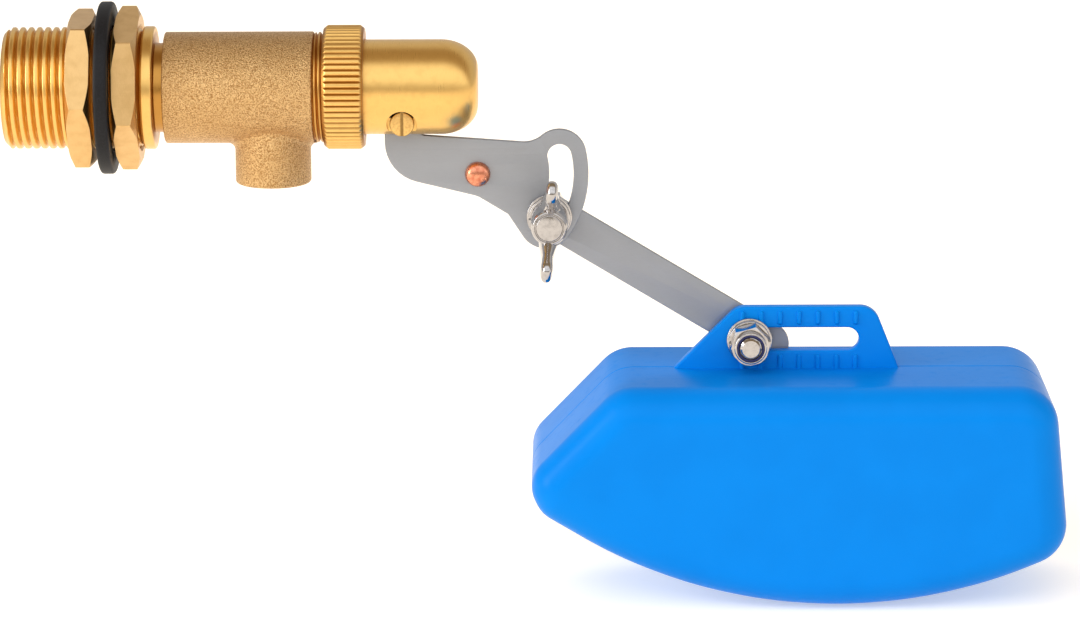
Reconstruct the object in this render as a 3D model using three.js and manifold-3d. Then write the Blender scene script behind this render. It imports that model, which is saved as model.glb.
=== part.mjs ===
// Brass float valve for a water tank: a threaded inlet with two locknuts and a gasket, a cast tee
// with its outlet spout, a domed cap that guides a plunger, and an adjustable lever with a float.
//
// Millimetres, +Z up. The origin is on the inlet axis, at the gasket face that seals on the tank
// wall. +X runs from the inlet to the dome, -Y is the side with the slotted pin and the wing screw.
import * as THREE from 'three';
import { mergeVertices } from 'three/addons/utils/BufferGeometryUtils.js';
import Module from 'manifold-3d';

const wasm = await Module();
wasm.setup();

// ---------------------------------------------------------------- driving dimensions
// Clearances shared by every fit
const FACE_GAP = 0.05;        // between two faces that are clamped together
const RUNNING_GAP = 0.1;      // radial, between a pin or thread and its hole
const STOP_GAP = 0.35;        // between the lever and the end of its slot when it hangs

// Inlet thread (G 3/4) and what is screwed on it
const THREAD_DIAMETER = 26.44;
const THREAD_START = -20.6;
const THREAD_END = 9.5;
const THREAD_CHAMFER = 1.2;
const INLET_BORE = 15;
const LOCKNUT_ACROSS_FLATS = THREAD_DIAMETER + 4.56;
const LOCKNUT_HEIGHT = 5.1;
const LOCKNUT_COUNTERSINK = 0.6; // radial, where the thread starts at each face
const OUTER_LOCKNUT_TURN = -24.5; // degrees that each locknut stands turned
const INNER_LOCKNUT_TURN = -12.5;
const WALL_SPACE = 1.2;       // between the outer locknut and the gasket
const GASKET_DIAMETER = THREAD_DIAMETER + 11.06;
const GASKET_THICKNESS = 3;
const GASKET_PLAY = 0.5;      // radial, between the thread and the gasket
const INNER_LOCKNUT_SPACE = 0.7;

// Domed cap, cap thread and union nut, from the plunger's guide outwards
const GUIDE_BORE = 16;
const DOME_WALL = 2.3;
const DOME_DIAMETER = GUIDE_BORE + 2 * DOME_WALL;
const DOME_FLANGE = DOME_DIAMETER + 2.4;
const DOME_FLANGE_LENGTH = 2.2;
const DOME_LENGTH = 24.6;     // nut face to the tip of the nose
const DOME_CORNER = 8;
const DOME_NOSE = DOME_DIAMETER - 12.4;
const GUIDE_TAIL = 3;         // room in the guide behind the lever's finger
const CAP_THREAD_DIAMETER = DOME_FLANGE + 1;
const CAP_THREAD_LENGTH = 6;
const CAP_GASKET_THICKNESS = 0.75;
const NUT_WALL = 1.5;
const NUT_DIAMETER = CAP_THREAD_DIAMETER + 2 * NUT_WALL;
const NUT_GROOVE = 0.45;      // depth of a knurl groove
const NUT_TEETH = 62;
const NUT_SETBACK = 2.2;      // barrel shoulder to the nut
const NUT_LIP = 1.9;

// Cast tee
const COLLAR_DIAMETER = THREAD_DIAMETER + 0.26;
const COLLAR_LENGTH = 2.5;
const NECK_DIAMETER = INLET_BORE + 4.4;
const NECK_LENGTH = 2.1;
const BARREL_DIAMETER = CAP_THREAD_DIAMETER + 0.2;
const BARREL_LENGTH = 32.3;
const BARREL_EDGE = 0.6;
const CHAMBER_BORE = GUIDE_BORE + 2;
const CHAMBER_LEAD = 5.2;     // chamber in front of the spout's bore
const SPOUT_BEFORE_CAP = 9.2; // middle of the spout to the right end of the barrel
const SPOUT_BORE = 12;
const SPOUT_DIAMETER = SPOUT_BORE + 4.5;
const SPOUT_BELOW_BARREL = 8.9;
const SPOUT_EDGE = 0.8;
const PARTITION_LENGTH = 6;   // wall between the inlet and the chamber, which holds the nozzle

// Seat nozzle
const NOZZLE_BORE = 6;
const NOZZLE_LIP = NOZZLE_BORE + 3;
const NOZZLE_BODY = NOZZLE_BORE + 5;
const NOZZLE_FLANGE = NOZZLE_BORE + 8;
const NOZZLE_FLANGE_LENGTH = 1.8;
const NOZZLE_LIP_LENGTH = 2;

// Lever pin
const PIN_FROM_NUT = 8.2;     // nut face to the pin
const PIN_ABOVE_EDGE = 3.2;   // lowest line of the dome to the pin
const PIN_HEAD = 5.3;
const PIN_HEAD_LENGTH = 1.4;
const PIN_SHANK = 4;
const PIN_SUNK = 0.56;        // below the dome's surface at each end
const PIN_COUNTERBORE = PIN_HEAD + 1.35;
const PIN_SLOT_WIDTH = 0.7;
const PIN_SLOT_DEPTH = 0.6;

// Plunger
const PLUNGER_DIAMETER = GUIDE_BORE - 2 * RUNNING_GAP;
const PLUNGER_TRAVEL = 3;     // from the seat lip to the disc when the valve is open
const DISC_DIAMETER = NOZZLE_LIP + 1.4;
const DISC_THICKNESS = 2.4;
const PLUNGER_NECK = DISC_DIAMETER + 1.6;
const PLUNGER_LEAD = 4;       // guided length in front of the dome's flange
const RING_SECTION = 1.8;
const RING_FROM_REAR = 6;

// Quadrant lever plate
const PLATE_THICKNESS = 1.5;
const LEVER_SLOT = PLATE_THICKNESS + 0.9;
const FINGER_DIAMETER = 7.4;
const FINGER_SETBACK = 0.3;   // finger behind the pin
const HEEL_RADIUS = 9;
const RIVET_AHEAD = 16.2;     // pin to rivet
const RIVET_BELOW = 12.2;
const RIVET_HEAD = 5.5;
const RIVET_HEAD_HEIGHT = 1.9;
const RIVET_SHANK = 4;
const RIVET_RIM = 4.9;        // rivet to the plate's lower edge

// M5 fasteners
const SCREW_DIAMETER = 5;
const WASHER_DIAMETER = SCREW_DIAMETER + 5;
const WASHER_THICKNESS = 1;
const SPRING_DIAMETER = SCREW_DIAMETER + 4.2;
const SPRING_THICKNESS = 1.2;
const SPRING_SPLIT = 0.7;
const NUT_FLATS = SCREW_DIAMETER + 3;
const PLAIN_NUT_HEIGHT = 4;
const LOCK_NUT_HEIGHT = 6.3;
const LOCK_NUT_COLLAR = SCREW_DIAMETER + 2.1;
const LOCK_RING_HEIGHT = 1.2;
const BOLT_HEAD_HEIGHT = 3.5;
const BOLT_PROUD = 0.4;

// Arc slot in the quadrant
const ARC_RADIUS = 18.3;      // rivet to the middle of the arc slot
const ARC_WIDTH = SCREW_DIAMETER + 0.3;
const ARC_TOP = 12.5;         // degrees above horizontal
const ARC_BOTTOM = -36;
const ARC_RIM = ARC_WIDTH / 2 + 3.25; // middle of the arc slot to the edge of the plate

// Arm strip
const ARM_ANGLE = 31.2;       // degrees below horizontal
const ARM_WIDTH = 9;
const ARM_THICKNESS = 1.5;
const ARM_BOLT = 70;          // rivet to the float bolt, along the arm
const ARM_BOLT_OFFSET = 0.8;  // float bolt hole below the middle of the arm
const ARM_TIP = 4.6;          // float bolt to the centre of the round end
const ARM_TO_FLOAT = 0.3;     // round end to the top of the float

// Wing screw
const WING_BOSS = SCREW_DIAMETER + 3.3;
const WING_BOSS_LENGTH = 10.6;
const WING_SPAN = 20.4;
const WING_THICKNESS = 2.8;
const WING_REACH = 6.4;       // how far the wing tips stand out past the boss
const WING_TURN = 4;          // degrees

// Float
const FLOAT_THICKNESS = 50;
const FLOAT_WALL = 2;
const FLOAT_CORNER = 9;
const FLOAT_EDGE = FLOAT_CORNER - 2;
const FLOAT_BOW = 49.26;      // bolt to the bow
const FLOAT_STERN = 69.34;    // bolt to the stern
const FLOAT_HEIGHT = 49.1;
const STERN_LEAN = 3.6;       // how far the top of the stern leans in
const BOW_SLOPE = 46;         // degrees
const CHIN_SETBACK = 3.4;     // foot of the bow behind its foremost point
const CHIN_HEIGHT = 7.4;
const BELLY_RADIUS = 110;
const BELLY_FROM_BOW = 68;    // bow to the lowest point
const HANDLE_THICKNESS = 2.9;
const HANDLE_RISE = 7.3;      // slot middle to the top of the handle
const HANDLE_BEFORE_BOLT = 16.5; // foot of the handle's sloped end to the bolt
const HANDLE_AFTER_SLOT = 11.4;  // end of the slot's travel to the foot of the steep end
const HANDLE_STEEP_RUN = 5.5;
const HANDLE_CORNER = 4.5;
const HANDLE_SLOT_WIDTH = SCREW_DIAMETER + 0.2;
const HANDLE_SLOT_TRAVEL = 21.5;
const RIB_COUNT = 7;
const RIB_PITCH = 4.14;
const RIB_SETBACK = 1.5;      // first rib before the bolt
const RIB_WIDTH = 1.1;
const RIB_HEIGHT = 0.4;
const RIB_MARGIN = 0.7;

const ROUND = 36;             // sides of a large round
const SMALL_ROUND = 20;       // sides of a small round
const FLOAT_EDGE_STEPS = 4;   // facets across the float's rounded edge

// ---------------------------------------------------------------- places that follow from them
const degrees = THREE.MathUtils.degToRad;
const collarStart = THREAD_END;
const neckStart = collarStart + COLLAR_LENGTH;
const barrelStart = neckStart + NECK_LENGTH;
const barrelEnd = barrelStart + BARREL_LENGTH;
const capThreadEnd = barrelEnd + CAP_THREAD_LENGTH;
const spoutX = barrelEnd - SPOUT_BEFORE_CAP;
const spoutDrop = BARREL_DIAMETER / 2 + SPOUT_BELOW_BARREL;
const partitionEnd = spoutX - SPOUT_BORE / 2 - CHAMBER_LEAD;
const partitionStart = partitionEnd - PARTITION_LENGTH;
const seatLip = partitionEnd + FACE_GAP + NOZZLE_FLANGE_LENGTH + NOZZLE_LIP_LENGTH;

const gasketStart = capThreadEnd + FACE_GAP;
const domeStart = gasketStart + CAP_GASKET_THICKNESS + FACE_GAP;
const domeFlangeEnd = domeStart + DOME_FLANGE_LENGTH;
const nutStart = barrelEnd + NUT_SETBACK;
const nutEnd = domeFlangeEnd + FACE_GAP + NUT_LIP;
const domeTip = nutEnd + DOME_LENGTH;

const pinX = nutEnd + PIN_FROM_NUT;
const pinZ = -DOME_DIAMETER / 2 + PIN_ABOVE_EDGE;
const pinHalfLength = Math.sqrt((DOME_DIAMETER / 2) ** 2 - pinZ ** 2) - PIN_SUNK;
const fingerX = pinX - FINGER_SETBACK;
const plateLeft = fingerX - FINGER_DIAMETER / 2;
const guideEnd = fingerX + FINGER_DIAMETER / 2 + GUIDE_TAIL;
const plungerEnd = plateLeft - 2 * FACE_GAP;
const discFace = seatLip + PLUNGER_TRAVEL;
const rivetX = pinX + RIVET_AHEAD;
const rivetZ = pinZ - RIVET_BELOW;

const plateFront = -PLATE_THICKNESS / 2;
const plateBack = PLATE_THICKNESS / 2;
const armFront = plateBack + FACE_GAP;
const armBack = armFront + ARM_THICKNESS;
const armDirection = new THREE.Vector2(Math.cos(degrees(ARM_ANGLE)), -Math.sin(degrees(ARM_ANGLE)));
const armDown = new THREE.Vector2(armDirection.y, -armDirection.x);
const rivet = new THREE.Vector2(rivetX, rivetZ);
const screwAt = rivet.clone().addScaledVector(armDirection, ARC_RADIUS);
const boltAt = rivet.clone().addScaledVector(armDirection, ARM_BOLT).addScaledVector(armDown, ARM_BOLT_OFFSET);
const armTip = rivet.clone().addScaledVector(armDirection, ARM_BOLT + ARM_TIP);

const handleBack = armFront - FACE_GAP;
const handleFront = handleBack - HANDLE_THICKNESS;
const floatMiddle = (handleFront + handleBack) / 2;
const floatLeft = boltAt.x - FLOAT_BOW;
const floatRight = boltAt.x + FLOAT_STERN;
const floatTop = armTip.y - ARM_WIDTH / 2 - ARM_TO_FLOAT;
const floatBottom = floatTop - FLOAT_HEIGHT;

// ---------------------------------------------------------------- solids
/** A closed geometry as a solid: shared corners merged, empty triangles dropped, faces outward. */
function solidOf(geometry) {
  const bare = geometry.clone();
  bare.deleteAttribute('normal');
  bare.deleteAttribute('uv');
  const merged = mergeVertices(bare, 1e-4);
  const points = merged.attributes.position;
  const corners = merged.index.array;
  const triangles = [];
  const a = new THREE.Vector3();
  const b = new THREE.Vector3();
  const c = new THREE.Vector3();
  let volume = 0;
  for (let i = 0; i < corners.length; i += 3) {
    const [p, q, r] = corners.slice(i, i + 3);
    if (p === q || q === r || r === p) continue;
    triangles.push(p, q, r);
    a.fromBufferAttribute(points, p);
    b.fromBufferAttribute(points, q);
    c.fromBufferAttribute(points, r);
    volume += a.dot(b.cross(c));
  }
  if (volume < 0) triangles.reverse();
  return new wasm.Manifold(new wasm.Mesh({
    numProp: 3,
    vertProperties: new Float32Array(points.array),
    triVerts: new Uint32Array(triangles),
  }));
}

/** Turns a geometry whose axis is Y so that its axis is X, Y or Z. */
function alongAxis(geometry, axis) {
  if (axis === 'x') geometry.rotateZ(-Math.PI / 2);
  if (axis === 'z') geometry.rotateX(Math.PI / 2);
  return geometry;
}

/** A turned solid. The profile lists [place on the axis, radius]; x and z shift the axis. */
function turned(axis, profile, sides, x = 0, z = 0) {
  const points = profile.map(([place, radius]) => new THREE.Vector2(radius, place));
  const geometry = alongAxis(new THREE.LatheGeometry(points, sides), axis);
  return solidOf(geometry.translate(x, 0, z));
}

/** A plain round bar from one place on its axis to another. */
function rod(axis, diameter, start, end, sides, x = 0, z = 0) {
  const radius = diameter / 2;
  return turned(axis, [[start, 0], [start, radius], [end, radius], [end, 0]], sides, x, z);
}

/** A round bar with a hole through it. */
function ring(axis, outer, inner, start, end, sides, x = 0, z = 0) {
  const body = rod(axis, outer, start, end, sides, x, z);
  return body.subtract(rod(axis, inner, start - 1, end + 1, sides, x, z));
}

/** A box between two corners. */
function box(x0, x1, y0, y1, z0, z1) {
  const geometry = new THREE.BoxGeometry(x1 - x0, y1 - y0, z1 - z0);
  return solidOf(geometry.translate((x0 + x1) / 2, (y0 + y1) / 2, (z0 + z1) / 2));
}

/** Points on an arc in the XZ plane, angles in degrees. */
function arc(x, z, radius, from, to, steps) {
  return Array.from({ length: steps + 1 }, (_, i) => {
    const angle = degrees(from + (to - from) * i / steps);
    return [x + radius * Math.cos(angle), z + radius * Math.sin(angle)];
  });
}

/** An outline of [x, z, fillet radius] corners. A fillet is kept within its two edges. */
function outline(corners, steps = 6) {
  const count = corners.length;
  const at = (i) => new THREE.Vector2(...corners[(i + count) % count]);
  return corners.flatMap(([x, z, radius = 0], i) => {
    const here = new THREE.Vector2(x, z);
    const back = at(i - 1).sub(here);
    const ahead = at(i + 1).sub(here);
    const half = Math.acos(THREE.MathUtils.clamp(back.dot(ahead) / back.length() / ahead.length(), -1, 1)) / 2;
    if (radius === 0) return [here];
    const tangent = Math.min(radius / Math.tan(half), 0.48 * back.length(), 0.48 * ahead.length());
    const start = here.clone().addScaledVector(back.normalize(), tangent);
    const end = here.clone().addScaledVector(ahead.normalize(), tangent);
    const toCentre = back.clone().add(ahead).normalize();
    const centre = here.clone().addScaledVector(toCentre, tangent / Math.cos(half));
    const first = start.clone().sub(centre);
    const sweep = Math.atan2(first.cross(end.clone().sub(centre)), first.dot(end.clone().sub(centre)));
    return Array.from({ length: steps + 1 }, (_, k) => (
      first.clone().rotateAround(new THREE.Vector2(), sweep * k / steps).add(centre)
    ));
  });
}

/** A flat plate cut to an outline in the XZ plane, between two places on Y. */
function plate(points, y0, y1) {
  const geometry = new THREE.ExtrudeGeometry(new THREE.Shape(points), { depth: y1 - y0, bevelEnabled: false });
  return solidOf(geometry.rotateX(Math.PI / 2).translate(0, y1, 0));
}

/** A stadium outline: two half circles joined by their tangents. */
function stadium(from, to, width, steps = 8) {
  const heading = THREE.MathUtils.radToDeg(Math.atan2(to.y - from.y, to.x - from.x));
  return [
    ...arc(to.x, to.y, width / 2, heading - 90, heading + 90, steps),
    ...arc(from.x, from.y, width / 2, heading + 90, heading + 270, steps),
  ].map(([x, z]) => new THREE.Vector2(x, z));
}

/** A hexagon bar on X or Y with both ends chamfered. */
function hexagon(axis, flats, start, end, turn, x = 0, z = 0) {
  const corner = flats / Math.sqrt(3);
  const geometry = new THREE.CylinderGeometry(corner, corner, end - start, 6);
  geometry.rotateY(degrees(turn)).translate(0, (start + end) / 2, 0);
  const bar = solidOf(alongAxis(geometry, axis).translate(x, 0, z));
  const face = flats * 0.48;
  const slope = (corner - face) * Math.tan(degrees(30));
  const profile = [
    [start, 0], [start, face], [start + slope, corner + 0.01],
    [end - slope, corner + 0.01], [end, face], [end, 0],
  ];
  return bar.intersect(turned(axis, profile, ROUND, x, z));
}

// ---------------------------------------------------------------- materials
const finish = (color, roughness, metalness) => new THREE.MeshStandardMaterial({ color, roughness, metalness });
const castBrass = () => finish(0xb9853a, 0.55, 1);
const turnedBrass = () => finish(0xd9a548, 0.28, 1);
const stainless = () => finish(0xa4a3a6, 0.45, 1);
const nickel = () => finish(0xb8b2aa, 0.2, 1);
const rubber = () => finish(0x1c1d1f, 0.7, 0);
const bluePlastic = () => finish(0x0b74e0, 0.28, 0);

/** A named part: a solid with its finish. */
function part(name, solid, material) {
  const { vertProperties, triVerts } = solid.getMesh();
  const geometry = new THREE.BufferGeometry();
  geometry.setAttribute('position', new THREE.BufferAttribute(vertProperties, 3));
  geometry.setIndex(new THREE.BufferAttribute(triVerts, 1));
  geometry.computeVertexNormals();
  const mesh = new THREE.Mesh(geometry, material);
  mesh.name = name;
  return mesh;
}

// ---------------------------------------------------------------- valve body
/** Threaded inlet, collar, neck and cast tee, bored from both ends and through the spout. */
function valveBody() {
  const r = THREAD_DIAMETER / 2;
  const barrel = BARREL_DIAMETER / 2;
  const outside = turned('x', [
    [THREAD_START, 0],
    [THREAD_START, r - THREAD_CHAMFER],
    [THREAD_START + THREAD_CHAMFER, r],
    [collarStart, r],
    [collarStart, COLLAR_DIAMETER / 2],
    [neckStart, COLLAR_DIAMETER / 2],
    [neckStart, NECK_DIAMETER / 2],
    [barrelStart, NECK_DIAMETER / 2],
    [barrelStart, barrel - BARREL_EDGE],
    [barrelStart + BARREL_EDGE, barrel],
    [barrelEnd - BARREL_EDGE, barrel],
    [barrelEnd, barrel - BARREL_EDGE],
    [barrelEnd, CAP_THREAD_DIAMETER / 2 - BARREL_EDGE],
    [barrelEnd + BARREL_EDGE, CAP_THREAD_DIAMETER / 2],
    [capThreadEnd, CAP_THREAD_DIAMETER / 2],
    [capThreadEnd, 0],
  ], ROUND);
  const spoutRadius = SPOUT_DIAMETER / 2;
  const spout = turned('z', [
    [0, 0],
    [-spoutDrop, 0],
    [-spoutDrop, spoutRadius - SPOUT_EDGE],
    [-spoutDrop + SPOUT_EDGE, spoutRadius],
    [0, spoutRadius],
    [0, 0],
  ], ROUND, spoutX);
  const inlet = rod('x', INLET_BORE, THREAD_START - 1, partitionStart, ROUND);
  const nozzleHole = rod('x', NOZZLE_BODY, partitionStart - 1, partitionEnd + 1, ROUND);
  const chamber = rod('x', CHAMBER_BORE, partitionEnd, capThreadEnd + 1, ROUND);
  const outlet = rod('z', SPOUT_BORE, -spoutDrop - 1, 0, ROUND, spoutX);
  return outside.add(spout).subtract(inlet).subtract(nozzleHole).subtract(chamber).subtract(outlet);
}

/** Nozzle pressed into the partition, with the raised lip that the disc closes on. */
function seatNozzle() {
  const face = partitionEnd + FACE_GAP;
  const body = rod('x', NOZZLE_BODY - 2 * RUNNING_GAP, partitionStart, face, ROUND);
  const flange = rod('x', NOZZLE_FLANGE, face, face + NOZZLE_FLANGE_LENGTH, ROUND);
  const lip = rod('x', NOZZLE_LIP, face, seatLip, ROUND);
  const bore = rod('x', NOZZLE_BORE, partitionStart - 1, seatLip + 1, SMALL_ROUND);
  return body.add(flange).add(lip).subtract(bore);
}

/** Hexagon locknut on the inlet thread, countersunk at both faces. */
function locknut(start, turn) {
  const end = start + LOCKNUT_HEIGHT;
  const thread = THREAD_DIAMETER / 2 + RUNNING_GAP;
  const mouth = thread + LOCKNUT_COUNTERSINK;
  const bore = turned('x', [
    [start - 1, 0],
    [start - 1, mouth],
    [start, mouth],
    [start + LOCKNUT_COUNTERSINK, thread],
    [end - LOCKNUT_COUNTERSINK, thread],
    [end, mouth],
    [end + 1, mouth],
    [end + 1, 0],
  ], ROUND);
  return hexagon('x', LOCKNUT_ACROSS_FLATS, start, end, turn).subtract(bore);
}

/** Flat rubber ring that seals on the tank wall. */
function tankGasket() {
  return ring('x', GASKET_DIAMETER, THREAD_DIAMETER + 2 * GASKET_PLAY, 0, GASKET_THICKNESS, ROUND);
}

// ---------------------------------------------------------------- cap and plunger
/** Straight-knurled union nut, threaded at the tee and with a lip that holds the dome's flange. */
function unionNut() {
  const tip = NUT_DIAMETER / 2;
  const root = tip - NUT_GROOVE;
  const knurl = Array.from({ length: NUT_TEETH * 2 }, (_, i) => {
    const angle = Math.PI * i / NUT_TEETH;
    const radius = i % 2 ? root : tip;
    return new THREE.Vector2(radius * Math.cos(angle), radius * Math.sin(angle));
  });
  const bar = new THREE.ExtrudeGeometry(new THREE.Shape(knurl), { depth: nutEnd - nutStart, bevelEnabled: false });
  const body = solidOf(bar.rotateY(Math.PI / 2).translate(nutStart, 0, 0));
  const thread = rod('x', CAP_THREAD_DIAMETER + 2 * RUNNING_GAP, nutStart - 1, nutEnd - NUT_LIP, ROUND);
  const mouth = rod('x', DOME_DIAMETER + 2 * RUNNING_GAP, nutStart - 1, nutEnd + 1, ROUND);
  return body.subtract(thread).subtract(mouth);
}

/** Fibre ring between the tee and the dome's flange. */
function capGasket() {
  return ring('x', DOME_FLANGE, CHAMBER_BORE, gasketStart, gasketStart + CAP_GASKET_THICKNESS, ROUND);
}

/** Bullet-shaped cap: plunger guide inside, lever slot below, cross hole for the lever pin. */
function domeCap() {
  const radius = DOME_DIAMETER / 2;
  const nose = DOME_NOSE / 2;
  const shoulder = Array.from({ length: 10 }, (_, i) => {
    const angle = degrees(90 * (1 - i / 9));
    return [
      domeTip - DOME_CORNER + DOME_CORNER * Math.cos(angle),
      nose + (radius - nose) * Math.sin(angle),
    ];
  });
  const outside = turned('x', [
    [domeStart, 0],
    [domeStart, DOME_FLANGE / 2],
    [domeFlangeEnd, DOME_FLANGE / 2],
    [domeFlangeEnd, radius],
    ...shoulder,
    [domeTip, 0],
  ], ROUND);
  const guide = rod('x', GUIDE_BORE, domeStart - 1, guideEnd, ROUND);
  const slotRoof = -nose - RUNNING_GAP;
  const slotStart = plateLeft - STOP_GAP;
  const half = LEVER_SLOT / 2;
  const slot = box(slotStart, domeTip + 1, -half, half, -radius - 1, slotRoof);
  const pinHole = rod('y', PIN_SHANK + RUNNING_GAP, -radius, radius, SMALL_ROUND, pinX, pinZ);
  const headSeat = -pinHalfLength + PIN_HEAD_LENGTH + FACE_GAP;
  const counterbore = rod('y', PIN_COUNTERBORE, -radius, headSeat, SMALL_ROUND, pinX, pinZ);
  return outside.subtract(guide).subtract(slot).subtract(pinHole).subtract(counterbore);
}

/** Slotted pin that the lever swings on. */
function leverPin() {
  const headBack = -pinHalfLength + PIN_HEAD_LENGTH;
  const head = rod('y', PIN_HEAD, -pinHalfLength, headBack, SMALL_ROUND, pinX, pinZ);
  const shank = rod('y', PIN_SHANK, headBack - 0.2, pinHalfLength, SMALL_ROUND, pinX, pinZ);
  const half = PIN_SLOT_WIDTH / 2;
  const slotEnd = -pinHalfLength + PIN_SLOT_DEPTH;
  const slot = box(pinX - half, pinX + half, -pinHalfLength - 1, slotEnd, pinZ - PIN_HEAD, pinZ + PIN_HEAD);
  return head.add(shank).subtract(slot);
}

/** Plunger: a neck with a pocket for the disc, and a guided rear with the ring groove. */
function plunger() {
  const neckEnd = domeStart - PLUNGER_LEAD;
  const grooveStart = plungerEnd - RING_FROM_REAR - RING_SECTION - 2 * RUNNING_GAP;
  const grooveEnd = plungerEnd - RING_FROM_REAR;
  const radius = PLUNGER_DIAMETER / 2;
  const grooveRadius = GUIDE_BORE / 2 - RING_SECTION - RUNNING_GAP;
  const body = turned('x', [
    [discFace + 0.6, 0],
    [discFace + 0.6, PLUNGER_NECK / 2],
    [neckEnd, PLUNGER_NECK / 2],
    [neckEnd + 2, radius],
    [grooveStart, radius],
    [grooveStart, grooveRadius],
    [grooveEnd, grooveRadius],
    [grooveEnd, radius],
    [plungerEnd, radius],
    [plungerEnd, 0],
  ], ROUND);
  const pocket = rod('x', DISC_DIAMETER + RUNNING_GAP, discFace, discFace + DISC_THICKNESS + FACE_GAP, ROUND);
  return body.subtract(pocket);
}

/** Rubber disc that closes on the seat lip. */
function plungerDisc() {
  return rod('x', DISC_DIAMETER, discFace, discFace + DISC_THICKNESS, ROUND);
}

/** Rubber ring of round section in the plunger's groove. */
function plungerRing() {
  const middle = plungerEnd - RING_FROM_REAR - RING_SECTION / 2 - RUNNING_GAP;
  const radius = RING_SECTION / 2 - 0.02;
  const centre = GUIDE_BORE / 2 - RING_SECTION / 2 - 0.05;
  const section = Array.from({ length: 9 }, (_, i) => [
    middle + radius * Math.cos(Math.PI * i / 4),
    centre + radius * Math.sin(Math.PI * i / 4),
  ]);
  return turned('x', section, ROUND);
}

// ---------------------------------------------------------------- lever
/** Flat lever: a finger in the dome, a heel, and a quadrant with the arc slot. */
function quadrantPlate() {
  const fingerRadius = FINGER_DIAMETER / 2;
  const right = fingerX + fingerRadius;
  const upper = arc(rivetX, rivetZ, ARC_RADIUS, ARC_TOP, ARC_TOP, 1)[0];
  const lower = arc(rivetX, rivetZ, ARC_RADIUS, ARC_BOTTOM, ARC_BOTTOM, 1)[0];
  const edge = outline([
    ...arc(fingerX, 0, fingerRadius, 0, 180, 8),
    [plateLeft, rivetZ, HEEL_RADIUS],
    [rivetX, rivetZ - RIVET_RIM, 6],
    [lower[0] - 8.2, lower[1] + 1.8, 1],
    ...arc(...lower, ARC_RIM, 215, 360 + ARC_BOTTOM, 8),
    ...arc(rivetX, rivetZ, ARC_RADIUS + ARC_RIM, ARC_BOTTOM, ARC_TOP, 12).slice(1, -1),
    ...arc(...upper, ARC_RIM, ARC_TOP, 130, 9),
    [upper[0] - 5.6, upper[1] + 2.9, 6],
    [right + 0.4, pinZ - 3.5, 1],
  ]);
  const slot = outline([
    ...arc(...lower, ARC_WIDTH / 2, 180 + ARC_BOTTOM, 360 + ARC_BOTTOM, 8),
    ...arc(rivetX, rivetZ, ARC_RADIUS + ARC_WIDTH / 2, ARC_BOTTOM, ARC_TOP, 12).slice(1, -1),
    ...arc(...upper, ARC_WIDTH / 2, ARC_TOP, ARC_TOP + 180, 8),
    ...arc(rivetX, rivetZ, ARC_RADIUS - ARC_WIDTH / 2, ARC_TOP, ARC_BOTTOM, 12).slice(1, -1),
  ]);
  const pinHole = rod('y', PIN_SHANK + 2 * RUNNING_GAP, -2, 2, SMALL_ROUND, pinX, pinZ);
  const rivetHole = rod('y', RIVET_SHANK + 2 * RUNNING_GAP, -2, 2, SMALL_ROUND, rivetX, rivetZ);
  return plate(edge, plateFront, plateBack)
    .subtract(plate(slot, plateFront - 1, plateBack + 1))
    .subtract(pinHole)
    .subtract(rivetHole);
}

/** Copper rivet with a domed head in front and a flat one behind the arm. */
function pivotRivet() {
  const head = RIVET_HEAD / 2;
  const front = plateFront - FACE_GAP;
  const back = armBack + FACE_GAP;
  const dome = Array.from({ length: 7 }, (_, i) => {
    const angle = degrees(15 * i);
    return [front - RIVET_HEAD_HEIGHT * Math.cos(angle), head * Math.sin(angle)];
  });
  return turned('y', [
    ...dome,
    [front, RIVET_SHANK / 2],
    [back, RIVET_SHANK / 2],
    [back, head],
    [back + 0.9, head],
    [back + 1.2, head - 0.3],
    [back + 1.2, 0],
  ], SMALL_ROUND, rivetX, rivetZ);
}

/** Straight strip with round ends, bored for the rivet, the wing screw and the float bolt. */
function armStrip() {
  const strip = plate(stadium(rivet, armTip, ARM_WIDTH), armFront, armBack);
  const hole = (diameter, at) => rod('y', diameter, armFront - 1, armBack + 1, SMALL_ROUND, at.x, at.y);
  return strip
    .subtract(hole(RIVET_SHANK + 2 * RUNNING_GAP, rivet))
    .subtract(hole(SCREW_DIAMETER + 2 * RUNNING_GAP, screwAt))
    .subtract(hole(SCREW_DIAMETER + 2 * RUNNING_GAP, boltAt));
}

// ---------------------------------------------------------------- M5 fasteners
/** Flat washer with its back face at y. */
function flatWasher(at, y) {
  return ring('y', WASHER_DIAMETER, SCREW_DIAMETER + 2 * RUNNING_GAP, y - WASHER_THICKNESS, y, SMALL_ROUND, at.x, at.y);
}

/** Split spring washer with its back face at y. */
function springWasher(at, y) {
  const inner = SCREW_DIAMETER + 2 * RUNNING_GAP;
  const whole = ring('y', SPRING_DIAMETER, inner, y - SPRING_THICKNESS, y, SMALL_ROUND, at.x, at.y);
  const half = SPRING_SPLIT / 2;
  const split = box(at.x - SPRING_DIAMETER, at.x, y - SPRING_THICKNESS - 1, y + 1, at.y - half, at.y + half);
  return whole.subtract(split);
}

/** Plain hexagon nut with its front face at y. */
function plainNut(at, y) {
  const end = y + PLAIN_NUT_HEIGHT;
  const bore = rod('y', SCREW_DIAMETER + 2 * RUNNING_GAP, y - 1, end + 1, SMALL_ROUND, at.x, at.y);
  return hexagon('y', NUT_FLATS, y, end, 0, at.x, at.y).subtract(bore);
}

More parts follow.
